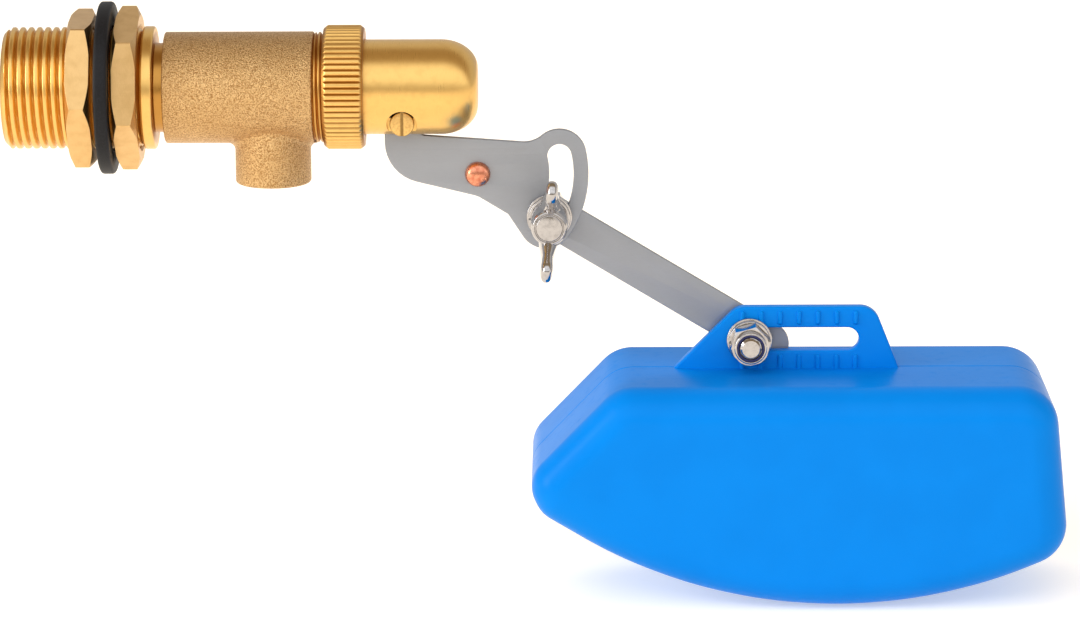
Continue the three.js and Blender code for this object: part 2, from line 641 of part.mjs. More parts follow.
/** Lock nut with a round collar, its back face at y, hollow for the nylon ring. */
function lockNut(at, y) {
  const front = y - LOCK_NUT_HEIGHT;
  const shoulder = front + LOCK_RING_HEIGHT + 0.4;
  const collar = rod('y', LOCK_NUT_COLLAR, front, y - 1, SMALL_ROUND, at.x, at.y);
  const bore = rod('y', SCREW_DIAMETER + 2 * RUNNING_GAP, front - 1, y + 1, SMALL_ROUND, at.x, at.y);
  const pocket = rod('y', LOCK_NUT_COLLAR - 1, front - 1, front + LOCK_RING_HEIGHT + FACE_GAP, SMALL_ROUND, at.x, at.y);
  return hexagon('y', NUT_FLATS, shoulder, y, 15, at.x, at.y).add(collar).subtract(bore).subtract(pocket);
}

/** Nylon ring inside the lock nut's collar. */
function lockRing(at, y) {
  const front = y - LOCK_NUT_HEIGHT;
  const outer = LOCK_NUT_COLLAR - 1 - 2 * FACE_GAP;
  const inner = SCREW_DIAMETER + RUNNING_GAP;
  return ring('y', outer, inner, front, front + LOCK_RING_HEIGHT, SMALL_ROUND, at.x, at.y);
}

/** Hexagon-headed bolt, its head behind the arm, its end proud of the lock nut. */
function floatBolt(at, headFace, end) {
  const tip = SCREW_DIAMETER / 2;
  const shank = turned('y', [
    [end, 0],
    [end, tip - 0.5],
    [end + 0.5, tip],
    [headFace + 0.5, tip],
    [headFace + 0.5, 0],
  ], SMALL_ROUND, at.x, at.y);
  return shank.add(hexagon('y', NUT_FLATS, headFace, headFace + BOLT_HEAD_HEIGHT, 10, at.x, at.y));
}

/** Wing screw: threaded shank, round boss with a closed face, two wings that flare forward. */
function wingScrew(seat, end) {
  const boss = WING_BOSS / 2;
  const front = seat - WING_BOSS_LENGTH;
  const body = turned('y', [
    [front, 0],
    [front, boss * 0.72],
    [front + 0.8, boss * 0.9],
    [seat - 0.6, boss],
    [seat, boss - 0.4],
    [seat, SCREW_DIAMETER / 2],
    [end, SCREW_DIAMETER / 2],
    [end, 0],
  ], SMALL_ROUND);
  const tip = front - WING_REACH;
  const span = WING_SPAN / 2;
  const wing = (side) => {
    const points = outline([
      [seat - 2.2, side * boss * 0.5],
      [seat - 3.4, side * (boss + 0.4), 1.5],
      [tip + 3.4, side * span, 2],
      [tip, side * (span - 1.6), 1.6],
      [front + 1.2, side * boss * 0.7],
    ], 4);
    const shape = new THREE.Shape(points);
    const slab = new THREE.ExtrudeGeometry(shape, { depth: WING_THICKNESS, bevelEnabled: false });
    slab.translate(0, 0, -WING_THICKNESS / 2);
    // the drawing's first axis lies along Y, its second along Z
    const toYZ = new THREE.Matrix4().set(0, 0, 1, 0, 1, 0, 0, 0, 0, 1, 0, 0, 0, 0, 0, 1);
    return solidOf(slab.applyMatrix4(toYZ));
  };
  return body.add(wing(1)).add(wing(-1));
}

// ---------------------------------------------------------------- float
/** Side outline of the float: flat top, sloped bow, curved belly, nearly upright stern. */
function floatOutline() {
  const bellyX = floatLeft + BELLY_FROM_BOW;
  const bellyAt = (x) => [x, floatBottom + BELLY_RADIUS - Math.sqrt(BELLY_RADIUS ** 2 - (x - bellyX) ** 2)];
  const chinX = floatLeft + CHIN_SETBACK;
  const steps = 7;
  const belly = Array.from({ length: steps + 1 }, (_, i) => bellyAt(chinX + (floatRight - chinX) * i / steps));
  const chin = belly[0];
  const heel = belly[steps];
  const bowZ = chin[1] + CHIN_HEIGHT;
  return outline([
    [...chin, FLOAT_CORNER],
    ...belly.slice(1, -1),
    [...heel, FLOAT_CORNER],
    [floatRight - STERN_LEAN, floatTop, FLOAT_CORNER],
    [floatLeft + (floatTop - bowZ) / Math.tan(degrees(BOW_SLOPE)), floatTop, FLOAT_CORNER],
    [floatLeft, bowZ, FLOAT_CORNER],
  ], 5);
}

/** Moves each point of a counter-clockwise outline inwards by the same distance from its edges. */
function drawIn(points, distance) {
  const inward = points.map((point, i) => {
    const along = points[(i + 1) % points.length].clone().sub(point).normalize();
    return new THREE.Vector2(-along.y, along.x);
  });
  return points.map((point, i) => {
    const before = inward[(i + points.length - 1) % points.length];
    const after = inward[i];
    return point.clone().addScaledVector(before.clone().add(after), distance / (1 + before.dot(after)));
  });
}

/** A closed solid through equal rings of points, its ends closed by fans. For convex rings. */
function loft(rings) {
  const count = rings[0].length;
  const vertices = rings.flat();
  const last = vertices.length - count;
  const triangles = [];
  for (let ringStart = 0; ringStart < last; ringStart += count) {
    for (let i = 0; i < count; i += 1) {
      const a = ringStart + i;
      const b = ringStart + (i + 1) % count;
      triangles.push(a, b, a + count, b, b + count, a + count);
    }
  }
  for (let i = 1; i < count - 1; i += 1) {
    triangles.push(0, i + 1, i, last, last + i, last + i + 1);
  }
  const geometry = new THREE.BufferGeometry().setFromPoints(vertices);
  geometry.setIndex(triangles);
  return solidOf(geometry);
}

/** The float's block with rounded edges, drawn in by inset on every side. */
function floatBlock(inset) {
  const drawn = floatOutline();
  const flank = FLOAT_THICKNESS / 2 - FLOAT_EDGE;
  const rounding = FLOAT_EDGE - inset;
  const ringAt = (side, step) => {
    const angle = degrees(90 * step / FLOAT_EDGE_STEPS);
    const y = floatMiddle + side * (flank + rounding * Math.sin(angle));
    return drawIn(drawn, FLOAT_EDGE - rounding * Math.cos(angle)).map((point) => (
      new THREE.Vector3(point.x, y, point.y)
    ));
  };
  const steps = Array.from({ length: FLOAT_EDGE_STEPS + 1 }, (_, i) => i);
  return loft([
    ...steps.map((step) => ringAt(-1, FLOAT_EDGE_STEPS - step)),
    ...steps.map((step) => ringAt(1, step)),
  ]);
}

/** Upright handle in the float's middle plane, with its long slot and its grip ribs. */
function floatHandle() {
  const left = boltAt.x - HANDLE_BEFORE_BOLT;
  const right = boltAt.x + HANDLE_SLOT_TRAVEL + HANDLE_AFTER_SLOT;
  const top = boltAt.y + HANDLE_RISE;
  const rise = top - floatTop;
  const foot = floatTop - FLOAT_WALL / 2;
  const plain = plate(outline([
    [left, foot],
    [right, foot],
    [right, floatTop],
    [right - HANDLE_STEEP_RUN, top, HANDLE_CORNER],
    [left + rise, top, HANDLE_CORNER],
    [left, floatTop],
  ]), handleFront, handleBack);
  const slotEnd = new THREE.Vector2(boltAt.x + HANDLE_SLOT_TRAVEL, boltAt.y);
  const slot = plate(stadium(boltAt, slotEnd, HANDLE_SLOT_WIDTH), handleFront - 2, handleBack + 2);
  const half = HANDLE_SLOT_WIDTH / 2;
  const rows = [
    [boltAt.y + half + RIB_MARGIN, top - RIB_MARGIN],
    [floatTop - FLOAT_WALL / 2, boltAt.y - half - RIB_MARGIN],
  ];
  const firstRib = boltAt.x - RIB_SETBACK;
  let handle = plain;
  for (const [low, high] of rows) {
    for (let i = 0; i < RIB_COUNT; i += 1) {
      const x = firstRib + i * RIB_PITCH;
      const rib = box(x - RIB_WIDTH / 2, x + RIB_WIDTH / 2, handleFront - RIB_HEIGHT, floatMiddle, low, high);
      handle = handle.add(rib);
    }
  }
  return handle.subtract(slot);
}

/** One moulded half of the float, open towards the middle plane where the halves are welded. */
function floatShell(side) {
  const far = side * FLOAT_THICKNESS;
  const seam = floatMiddle + side * FACE_GAP / 2;
  const reach = floatRight + 20;
  const half = box(0, reach, Math.min(seam, far), Math.max(seam, far), floatBottom - 20, 0);
  return floatBlock(0).add(floatHandle()).subtract(floatBlock(FLOAT_WALL)).intersect(half);
}

// ---------------------------------------------------------------- assembly
const floatValve = new THREE.Group();

floatValve.add(
  part('valve_body', valveBody(), castBrass()),
  part('seat_nozzle', seatNozzle(), turnedBrass()),
  part('outer_locknut', locknut(-WALL_SPACE - LOCKNUT_HEIGHT, OUTER_LOCKNUT_TURN), turnedBrass()),
  part('tank_gasket', tankGasket(), rubber()),
  part('inner_locknut', locknut(GASKET_THICKNESS + INNER_LOCKNUT_SPACE, INNER_LOCKNUT_TURN), turnedBrass()),
  part('union_nut', unionNut(), turnedBrass()),
  part('cap_gasket', capGasket(), finish(0x8a5a3c, 0.8, 0)),
  part('dome_cap', domeCap(), turnedBrass()),
  part('lever_pin', leverPin(), turnedBrass()),
  part('plunger', plunger(), turnedBrass()),
  part('plunger_disc', plungerDisc(), rubber()),
  part('plunger_o_ring', plungerRing(), rubber()),
  part('quadrant_plate', quadrantPlate(), stainless()),
  part('pivot_rivet', pivotRivet(), finish(0xc4683e, 0.25, 1)),
  part('arm_strip', armStrip(), stainless()),
);

// Wing screw through the arc slot, held by a nut behind the arm
const wingWasherBack = plateFront - FACE_GAP;
const wingSpringBack = wingWasherBack - WASHER_THICKNESS - FACE_GAP;
const wingSeat = wingSpringBack - SPRING_THICKNESS - FACE_GAP;
const wingNutFront = armBack + FACE_GAP;
const wing = part('wing_screw', wingScrew(wingSeat, wingNutFront + PLAIN_NUT_HEIGHT + BOLT_PROUD), nickel());
const wingGroup = new THREE.Group();
wingGroup.position.set(screwAt.x, 0, screwAt.y);
wingGroup.rotation.y = degrees(WING_TURN);
wingGroup.add(wing);
floatValve.add(
  wingGroup,
  part('wing_washer', flatWasher(screwAt, wingWasherBack), nickel()),
  part('wing_spring_washer', springWasher(screwAt, wingSpringBack), nickel()),
  part('arm_nut', plainNut(screwAt, wingNutFront), nickel()),
);

// Float bolt through the arm and the handle
const frontWasherBack = handleFront - RIB_HEIGHT - FACE_GAP;
const frontSpringBack = frontWasherBack - WASHER_THICKNESS - FACE_GAP;
const lockNutBack = frontSpringBack - SPRING_THICKNESS - FACE_GAP;
const rearWasherBack = armBack + FACE_GAP + WASHER_THICKNESS;
const boltHeadFace = rearWasherBack + FACE_GAP;
const boltEnd = lockNutBack - LOCK_NUT_HEIGHT - BOLT_PROUD;
floatValve.add(
  part('float_bolt', floatBolt(boltAt, boltHeadFace, boltEnd), nickel()),
  part('rear_washer', flatWasher(boltAt, rearWasherBack), nickel()),
  part('front_washer', flatWasher(boltAt, frontWasherBack), nickel()),
  part('spring_washer', springWasher(boltAt, frontSpringBack), nickel()),
  part('lock_nut', lockNut(boltAt, lockNutBack), nickel()),
  part('lock_nut_ring', lockRing(boltAt, lockNutBack), finish(0x1a2b6b, 0.5, 0)),
  part('float_front_shell', floatShell(-1), bluePlastic()),
  part('float_rear_shell', floatShell(1), bluePlastic()),
);

export default floatValve;
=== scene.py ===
# %% [markdown]
# # A brass float valve, finished in Blender
# The valve screws through the wall of a water tank. When the blue float sinks, its arm turns a flat
# lever, the lever lets a plunger off its seat, and water runs out of the spout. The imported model
# already fixes where every piece is and how it moves, so this lesson only gives each piece its
# fine shape and its finish. Everything is worked out in millimetres and put into the mesh in metres.

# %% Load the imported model
import math

import bmesh
import bpy
import numpy as np
from mathutils import Matrix, Vector
from mathutils.geometry import tessellate_polygon


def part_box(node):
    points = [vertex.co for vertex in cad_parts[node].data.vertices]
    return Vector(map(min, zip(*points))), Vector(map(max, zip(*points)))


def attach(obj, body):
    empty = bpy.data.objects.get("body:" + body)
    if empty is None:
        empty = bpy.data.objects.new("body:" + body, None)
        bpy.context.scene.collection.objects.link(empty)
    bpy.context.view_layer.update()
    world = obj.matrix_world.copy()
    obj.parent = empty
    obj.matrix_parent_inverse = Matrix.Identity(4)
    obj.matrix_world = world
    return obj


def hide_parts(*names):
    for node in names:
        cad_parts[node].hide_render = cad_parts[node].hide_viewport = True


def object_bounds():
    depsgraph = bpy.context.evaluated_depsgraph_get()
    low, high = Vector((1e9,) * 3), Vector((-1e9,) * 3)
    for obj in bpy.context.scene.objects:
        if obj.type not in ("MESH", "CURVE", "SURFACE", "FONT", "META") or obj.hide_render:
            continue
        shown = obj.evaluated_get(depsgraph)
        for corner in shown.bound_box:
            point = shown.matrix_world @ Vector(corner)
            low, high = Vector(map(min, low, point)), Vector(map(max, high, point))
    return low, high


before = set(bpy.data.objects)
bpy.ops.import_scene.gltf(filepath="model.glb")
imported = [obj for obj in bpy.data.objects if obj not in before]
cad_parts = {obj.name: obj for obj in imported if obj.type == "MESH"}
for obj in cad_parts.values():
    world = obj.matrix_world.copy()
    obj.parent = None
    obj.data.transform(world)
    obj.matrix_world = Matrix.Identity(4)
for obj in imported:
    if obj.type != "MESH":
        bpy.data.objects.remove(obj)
cad_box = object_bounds()
MM = 0.001


def span(node):
    """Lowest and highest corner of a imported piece, in millimetres."""
    low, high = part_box(node)
    return np.array(low) / MM, np.array(high) / MM


print(len(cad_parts), "packed pieces, box in mm", np.round(np.array(cad_box) / MM, 1).tolist())

# %% [markdown]
# ## The camera
# A long lens a metre away keeps the valve's round pieces nearly free of perspective. The camera
# is turned by three plain angles: how far it looks towards the float, how far down, and its tilt.
# A matrix built from those angles says exactly where each axis points.

# %% Set the camera
CAMERA_PLACE = (103.0, -964.4, 174.4)
CAMERA_YAW, CAMERA_PITCH, CAMERA_ROLL = np.radians([-0.46, 13.23, 0.27])
LENS = 150

ahead = np.array([
    math.sin(CAMERA_YAW) * math.cos(CAMERA_PITCH),
    math.cos(CAMERA_YAW) * math.cos(CAMERA_PITCH),
    -math.sin(CAMERA_PITCH),
])
level = np.array([math.cos(CAMERA_YAW), -math.sin(CAMERA_YAW), 0])
down = np.cross(ahead, level)
right = level * math.cos(CAMERA_ROLL) + down * math.sin(CAMERA_ROLL)
up = np.cross(right, ahead)

camera = bpy.data.objects.new("camera", bpy.data.cameras.new("camera"))
camera.data.lens = LENS
camera.data.sensor_width = 36
camera.data.clip_end = 50
axes = Matrix(np.stack([right, up, -ahead], 1).tolist()).to_4x4()
camera.matrix_world = Matrix.Translation([place * MM for place in CAMERA_PLACE]) @ axes
bpy.context.scene.collection.objects.link(camera)
bpy.context.scene.camera = camera
print("camera looks along", np.round(ahead, 3).tolist())

# %% [markdown]
# ## Shader maths in plain Python
# A finish is a network of nodes. Placing each Math node by hand hides the sum it works out, so one
# small class wraps a socket and overloads the operators: `1 - mask * 0.5` adds the nodes by itself.
# Every other node comes from one method that takes its type, its settings and its sockets.


# %% Wires and finishes
class Wire:
    """An output socket of a finish that can be used in sums."""

    def __init__(self, finish, socket):
        self.finish = finish
        self.socket = socket

    def sum(self, operation, *terms):
        """A Math node on the terms, which are wires or plain numbers."""
        return self.finish.node("ShaderNodeMath", {"operation": operation}, terms)

    def __add__(self, other):
        return self.sum("ADD", self, other)

    def __radd__(self, other):
        return self.sum("ADD", other, self)

    def __sub__(self, other):
        return self.sum("SUBTRACT", self, other)

    def __rsub__(self, other):
        return self.sum("SUBTRACT", other, self)

    def __mul__(self, other):
        return self.sum("MULTIPLY", self, other)

    def __rmul__(self, other):
        return self.sum("MULTIPLY", other, self)

    def ramp(self, low, high):
        """Moves the range low to high onto 0 to 1, with soft ends, and holds it there."""
        return self.finish.node(
            "ShaderNodeMapRange",
            {"interpolation_type": "SMOOTHSTEP"},
            [self, low, high, 0.0, 1.0],
        )


class Finish:
    """One material: its nodes, and the shader that they feed."""

    def __init__(self, name, **shader):
        self.material = bpy.data.materials.new(name)
        self.material.use_nodes = True
        self.tree = self.material.node_tree
        self.shader = next(n for n in self.tree.nodes if n.type == "BSDF_PRINCIPLED")
        self.coordinates = self.node("ShaderNodeTexCoord", output="Object")
        for key, value in shader.items():
            self.shader.inputs[key.replace("_", " ")].default_value = value

    def node(self, kind, settings=None, sockets=(), output=0):
        """Adds a node, gives it its settings, then the value or wire of each socket."""
        made = self.tree.nodes.new(kind)
        for key, value in (settings or {}).items():
            setattr(made, key, value)
        pairs = sockets.items() if isinstance(sockets, dict) else enumerate(sockets)
        for key, value in pairs:
            if isinstance(value, Wire):
                self.tree.links.new(value.socket, made.inputs[key])
            else:
                made.inputs[key].default_value = value
        return Wire(self, made.outputs[output])

    def spots(self, size, detail=2.0, rough=0.5, stretch=(1, 1, 1)):
        """Cloudy noise from 0 to 1. size is one spot in mm, and stretch makes it longer on an axis."""
        scale = [1 / (size * MM * s) for s in stretch]
        moved = self.node("ShaderNodeMapping", None, {"Vector": self.coordinates, "Scale": scale})
        return self.node(
            "ShaderNodeTexNoise", None,
            {"Vector": moved, "Scale": 1.0, "Detail": detail, "Roughness": rough},
        )

    def radius(self, along=(0, 1, 1), centre=(0, 0, 0)):
        """Distance in mm from a line through centre. along is 0 on the line's own axis."""
        moved = self.node("ShaderNodeVectorMath", {"operation": "SUBTRACT"},
                          [self.coordinates, [c * MM for c in centre]])
        flat = self.node("ShaderNodeVectorMath", {"operation": "MULTIPLY"}, [moved, along])
        length = self.node("ShaderNodeVectorMath", {"operation": "LENGTH"}, [flat], "Value")
        return length * (1 / MM)

    def blend(self, mask, first, second):
        """The first colour where mask is 0, the second where it is 1."""
        return self.node("ShaderNodeMix", {"data_type": "RGBA"}, {0: mask, 6: first, 7: second}, 2)

    def feed(self, socket, wire):
        """Links a wire to one of the shader's own sockets."""
        self.tree.links.new(wire.socket, self.shader.inputs[socket])

    def raise_by(self, height, depth):
        """Bump: height from 0 to 1 stands depth millimetres proud."""
        self.feed("Normal", self.node("ShaderNodeBump", None, {
            "Strength": 1.0, "Distance": depth * MM, "Height": height,
        }))


print("helpers ready")

# %% [markdown]
# ## Cast brass
# The tee is cast in sand and only tumbled, so its skin is a fine even stipple that scatters the
# light. A displaced mesh would need millions of faces; a bump from two sizes of noise gives the same
# sparkle. The pits are a little darker and browner than the tops.

# %% Cast brass
cast_brass = Finish("cast_brass", Metallic=1.0, Roughness=0.4)
grit = cast_brass.spots(0.30, 2.0, 0.6)
patches = cast_brass.spots(6.0, 2.0)
tops = grit.ramp(0.34, 0.62)
PIT_BROWN, TOP_GOLD, PATCH_BROWN = (0.38, 0.20, 0.07, 1), (0.74, 0.49, 0.23, 1), (0.50, 0.28, 0.10, 1)
skin = cast_brass.blend(tops, PIT_BROWN, TOP_GOLD)
cast_brass.feed("Base Color", cast_brass.blend(patches.ramp(0.35, 0.7) * 0.25, skin, PATCH_BROWN))
cast_brass.feed("Roughness", 0.46 - tops * 0.12)
cast_brass.raise_by(grit * 0.7 + cast_brass.spots(0.9) * 0.3, 0.4)
print("cast brass:", len(cast_brass.tree.nodes), "nodes")

# %% [markdown]
# ## Turned brass
# The thread, the collar and the domed cap come off a lathe, which leaves hair-fine rings round the
# X axis. Noise squeezed hard along X and left wide across it gives those rings. Grooves see less light,
# so painted shade deepens the colour from the crest to the root, by the distance to the axis.


# %% Turned brass
LATHE_GOLD, LATHE_STAIN = (0.84, 0.53, 0.17, 1), (0.70, 0.41, 0.12, 1)


def turned_finish(name, root, crest, root_shade=(0.52, 0.26, 0.06, 1), rough=0.2):
    """Lathe rings round the X axis, with painted shade inside the radius root that clears by the radius
    crest, in mm.
    """
    made = Finish(name, Metallic=1.0, Roughness=rough)
    rings = made.spots(0.12, 2.0, 0.6, (1, 60, 60))
    wear = made.spots(1.6, 3.0)
    # Painted shade: from the radius crest down to the root the colour turns to the dark root colour.
    out_of_root_shade = made.radius().ramp(root, crest)
    stained = made.blend(wear.ramp(0.45, 0.75) * 0.3, LATHE_GOLD, LATHE_STAIN)
    made.feed("Base Color", made.blend(out_of_root_shade, root_shade, stained))
    made.feed("Roughness", rough + rings * 0.16 + wear * 0.05)
    made.raise_by(rings * 0.7 + wear * 0.3, 0.012)
    return made


# Each pair of radii sets where the painted shade falls on its pieces.
thread_brass = turned_finish("thread_brass", 11.6, 12.9)
dome_brass = turned_finish("dome_brass", 4.0, 5.0)
knurled_brass = turned_finish("knurled_brass", 12.95, 13.4, root_shade=(0.40, 0.18, 0.04, 1), rough=0.24)
print("turned brass:", len(dome_brass.tree.nodes), "nodes in each of three finishes")

# %% [markdown]
# ## Milled brass, steel, nickel and copper
# The locknuts are sawn from hexagon bar and milled, so their faces carry fine straight lines. The
# lever and the arm are blanked from matt steel sheet with a faint rolled grain. The fasteners are
# bright nickel plate, which is nearly a mirror, and the rivet is soft copper, polished by its hammer.

# %% Milled and plated metals
locknut_brass = Finish("locknut_brass", Metallic=1.0, Roughness=0.3)
saw = locknut_brass.spots(0.16, 2.0, 0.6, (1, 1, 50))
cross = locknut_brass.spots(0.3, 2.0, 0.6, (12, 12, 1))
stain = locknut_brass.spots(2.4, 3.0)
locknut_brass.feed("Base Color", locknut_brass.blend(
    stain.ramp(0.35, 0.72) * 0.4 + saw * 0.3, (0.76, 0.50, 0.22, 1), (0.58, 0.35, 0.13, 1)))
locknut_brass.feed("Roughness", 0.26 + saw * 0.2)
locknut_brass.raise_by(saw * 0.7 + cross * 0.3, 0.035)

steel = Finish("sheet_steel", Metallic=1.0, Roughness=0.45)
rolled = steel.spots(0.22, 3.0, 0.65, (5, 1, 1))
bloom = steel.spots(9.0, 2.0)
steel.feed("Base Color", steel.blend(
    rolled * 0.7 + bloom * 0.3, (0.32, 0.335, 0.365, 1), (0.43, 0.45, 0.49, 1)))
steel.feed("Roughness", 0.46 + rolled * 0.2)
steel.raise_by(rolled, 0.012)

nickel = Finish("bright_nickel", Metallic=1.0, Roughness=0.12)
haze = nickel.spots(1.1, 3.0, 0.6)
nickel.feed("Base Color", nickel.blend(
    haze.ramp(0.4, 0.8), (0.50, 0.485, 0.485, 1), (0.38, 0.365, 0.365, 1)))
nickel.feed("Roughness", 0.05 + haze * 0.1)
nickel.raise_by(haze, 0.01)

copper = Finish("copper", Metallic=1.0, Roughness=0.15)
dents = copper.spots(0.9, 2.0)
copper.feed("Base Color", copper.blend(
    dents.ramp(0.35, 0.75), (0.80, 0.33, 0.20, 1), (0.58, 0.18, 0.10, 1)))
copper.feed("Roughness", 0.22 + dents * 0.12)
copper.raise_by(dents, 0.008)
print("metals ready")

# %% [markdown]
# ## Rubber, fibre and plastics
# The tank gasket is black rubber with a dusty bloom, and the seal under the dome is pressed fibre. The
# float is blown from deep blue polythene: satin, a little uneven under the light, with a very low
# mirror part, so the blue stays pure even where a white wall would show in it.

# %% Rubber and plastics
rubber = Finish("rubber", Roughness=0.5, Specular_IOR_Level=0.25)
dust = rubber.spots(0.35, 3.0, 0.6)
rubber.feed("Base Color", rubber.blend(
    dust.ramp(0.4, 0.75), (0.004, 0.004, 0.005, 1), (0.011, 0.011, 0.014, 1)))
rubber.feed("Roughness", 0.40 + dust * 0.25)
rubber.raise_by(dust, 0.03)

fibre = Finish("fibre", Roughness=0.8)
strands = fibre.spots(0.3, 4.0, 0.7, (1, 4, 4))
fibre.feed("Base Color", fibre.blend(strands, (0.30, 0.07, 0.04, 1), (0.50, 0.16, 0.09, 1)))
fibre.raise_by(strands, 0.05)

nylon = Finish("nylon", Roughness=0.4)
cloud = nylon.spots(0.8)
nylon.feed("Base Color", nylon.blend(cloud, (0.006, 0.010, 0.075, 1), (0.012, 0.022, 0.13, 1)))
nylon.raise_by(cloud, 0.02)

blue_plastic = Finish("blue_plastic", Roughness=0.3, IOR=1.15)
waves = blue_plastic.spots(14.0, 2.0)
peel = blue_plastic.spots(1.3, 2.0)
scuffs = blue_plastic.spots(2.5, 3.0, 0.6)
blue_plastic.feed("Base Color", blue_plastic.blend(
    waves.ramp(0.3, 0.7), (0.0006, 0.20, 0.69, 1), (0.0008, 0.212, 0.72, 1)))
blue_plastic.feed("Roughness", 0.28 + scuffs.ramp(0.5, 0.8) * 0.08 + peel * 0.04)
blue_plastic.raise_by(peel, 0.008)
print("soft finishes ready")

# %% [markdown]
# ## From numbers to a mesh
# Every piece below is one or more sheets: grids of points that a formula gives for two parameters.
# Neighbouring points become four-sided faces. Where a sheet meets itself, at a seam or a pole, its
# points lie on each other and are merged, so the piece ends up closed, and the normals are turned
# outwards after that. Flat ends with holes in them come as triangles instead.


# %% Build a piece from sheets
MERGE_WITHIN = 0.002


def open_edge_count(mesh):
    """Edges that only one face uses. A closed piece has none."""
    edges = np.zeros(len(mesh.loops), int)
    mesh.loops.foreach_get("edge_index", edges)
    return int((np.bincount(edges, minlength=len(mesh.edges)) == 1).sum())


def make_piece(name, sheets, finish, body, stands_for=(), crease=36, flats=()):
    """A closed mesh from grids of points in mm, shaped (rows, columns, 3), and flats (points, triangles)."""
    points, faces, start = [], [], 0
    for sheet in sheets:
        rows, columns = sheet.shape[:2]
        first = start + np.arange(rows - 1)[:, None] * columns + np.arange(columns - 1)[None, :]
        quads = np.stack([first, first + 1, first + columns + 1, first + columns], -1)
        points.append(sheet.reshape(-1, 3))
        faces.extend(quads.reshape(-1, 4).tolist())
        start += rows * columns
    curved = len(faces)
    for corners, triangles in flats:
        points.append(corners)
        faces.extend((np.array(triangles) + start).tolist())
        start += len(corners)
    mesh = bpy.data.meshes.new(name)
    mesh.from_pydata((np.concatenate(points) * MM).tolist(), [], faces)
    mesh.polygons.foreach_set("use_smooth", np.arange(len(faces)) < curved)
    work = bmesh.new()
    work.from_mesh(mesh)
    bmesh.ops.remove_doubles(work, verts=work.verts, dist=MERGE_WITHIN * MM)
    bmesh.ops.recalc_face_normals(work, faces=work.faces)
    work.to_mesh(mesh)
    work.free()
    mesh.set_sharp_from_angle(angle=math.radians(crease))
    mesh.materials.append(finish.material)
    piece = bpy.data.objects.new(name, mesh)
    bpy.context.scene.collection.objects.link(piece)
    if body:
        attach(piece, body)
        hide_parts(*stands_for)
    print(f"{name}: {len(mesh.polygons)} faces, {open_edge_count(mesh)} open edges")
    return piece


def cut_away(piece, sheets, crease=36):
    """Takes the closed shape given by sheets out of a piece."""
    cutter = make_piece("cutter", sheets, thread_brass, None)
    change = piece.modifiers.new("cut", "BOOLEAN")
    change.operation = "DIFFERENCE"
    change.solver = "EXACT"
    change.object = cutter
    result = piece.evaluated_get(bpy.context.evaluated_depsgraph_get())
    mesh = bpy.data.meshes.new_from_object(result)
    piece.modifiers.clear()
    piece.data = mesh
    mesh.set_sharp_from_angle(angle=math.radians(crease))
    bpy.data.objects.remove(cutter)
    print(f"{piece.name} cut: {len(mesh.polygons)} faces, {open_edge_count(mesh)} open edges")


# %% [markdown]
# ## Lines with soft corners, and turning them
# No real edge is perfectly sharp, and a softened edge is what catches the light. So a profile is
# drawn as corners with a radius each, and one function swaps each corner for an arc. A turned piece
# carries its profile round an axis.


# %% Profiles and turned sheets
def unit(vectors):
    """Each vector divided by its own length."""
    return vectors / np.linalg.norm(vectors, axis=-1, keepdims=True)


def soften(corners, steps=5, closed=False):
    """Rows of (a, b, radius) to a smooth line. An arc starts radius * tan(turn / 2) before its corner."""
    corners = np.array([(*c, 0)[:3] for c in corners], float)
    place, radius = corners[:, :2], corners[:, 2]
    before, after = np.roll(place, 1, 0), np.roll(place, -1, 0)
    if not closed:
        before[0], after[-1] = 2 * place[0] - place[1], 2 * place[-1] - place[-2]
    arriving, leaving = unit(place - before), unit(after - place)
    cross = arriving[:, 0] * leaving[:, 1] - arriving[:, 1] * leaving[:, 0]
    turn = np.arctan2(cross, (arriving * leaving).sum(1))
    inside = np.stack([-arriving[:, 1], arriving[:, 0]], 1) * np.sign(turn)[:, None]
    start = place - arriving * (radius * np.tan(np.abs(turn) / 2))[:, None]
    centre = start + inside * radius[:, None]
    angle = np.abs(turn)[:, None] * np.linspace(0, 1, steps + 1)
    line = (
        centre[:, None]
        - inside[:, None] * (radius[:, None] * np.cos(angle))[..., None]
        + arriving[:, None] * (radius[:, None] * np.sin(angle))[..., None]
    ).reshape(-1, 2)
    if closed:
        line = np.concatenate([line, line[:1]])
    keep = np.append(True, np.linalg.norm(np.diff(line, axis=0), axis=1) > 1e-4)
    return line[keep]


def place_round(along, radius, angle, axis="x", centre=(0, 0)):
    """Points at a distance along an axis, a radius from it and an angle round it."""
    along, radius, angle = np.broadcast_arrays(along, radius, angle)
    a = centre[0] + radius * np.cos(angle)
    b = centre[1] + radius * np.sin(angle)
    order = {"x": (along, a, b), "y": (a, along, b), "z": (a, b, along)}[axis]
    return np.stack(order, -1)


def turned(profile, sides=128, axis="x", centre=(0, 0)):
    """Carries a profile of (along, radius) once round the axis."""
    angle = np.linspace(0, 2 * np.pi, sides + 1)
    return place_round(profile[:, 0, None], profile[:, 1, None], angle, axis, centre)


def turned_ring(start, end, inner, outer, edge, sides=128, axis="x", centre=(0, 0)):
    """A flat ring with its four edges softened."""
    corners = [(start, inner, edge), (start, outer, edge), (end, outer, edge), (end, inner, edge)]
    return turned(soften(corners, 4, closed=True), sides, axis, centre)


print("a softened corner:", np.round(soften([(0, 0), (1, 0, 0.2), (1, 1)], 2), 2).tolist())

# %% [markdown]
# ## The inlet thread
# A thread is a groove that climbs one pitch in each turn. Seen as a height over a grid of place and
# angle it is a single wave: its phase is place / pitch minus angle / one turn. That gives true
# helical crests with rounded tops, and a chamfer is simply a limit on the radius near the end.

# %% Inlet thread
THREAD_START, THREAD_END = -20.6, 9.5
THREAD_RADIUS, THREAD_PITCH, THREAD_DEPTH = 13.22, 1.814, 0.95
THREAD_LEAD, CREST_BREADTH = 1.2, 2.4
INLET_RADIUS = 7.5


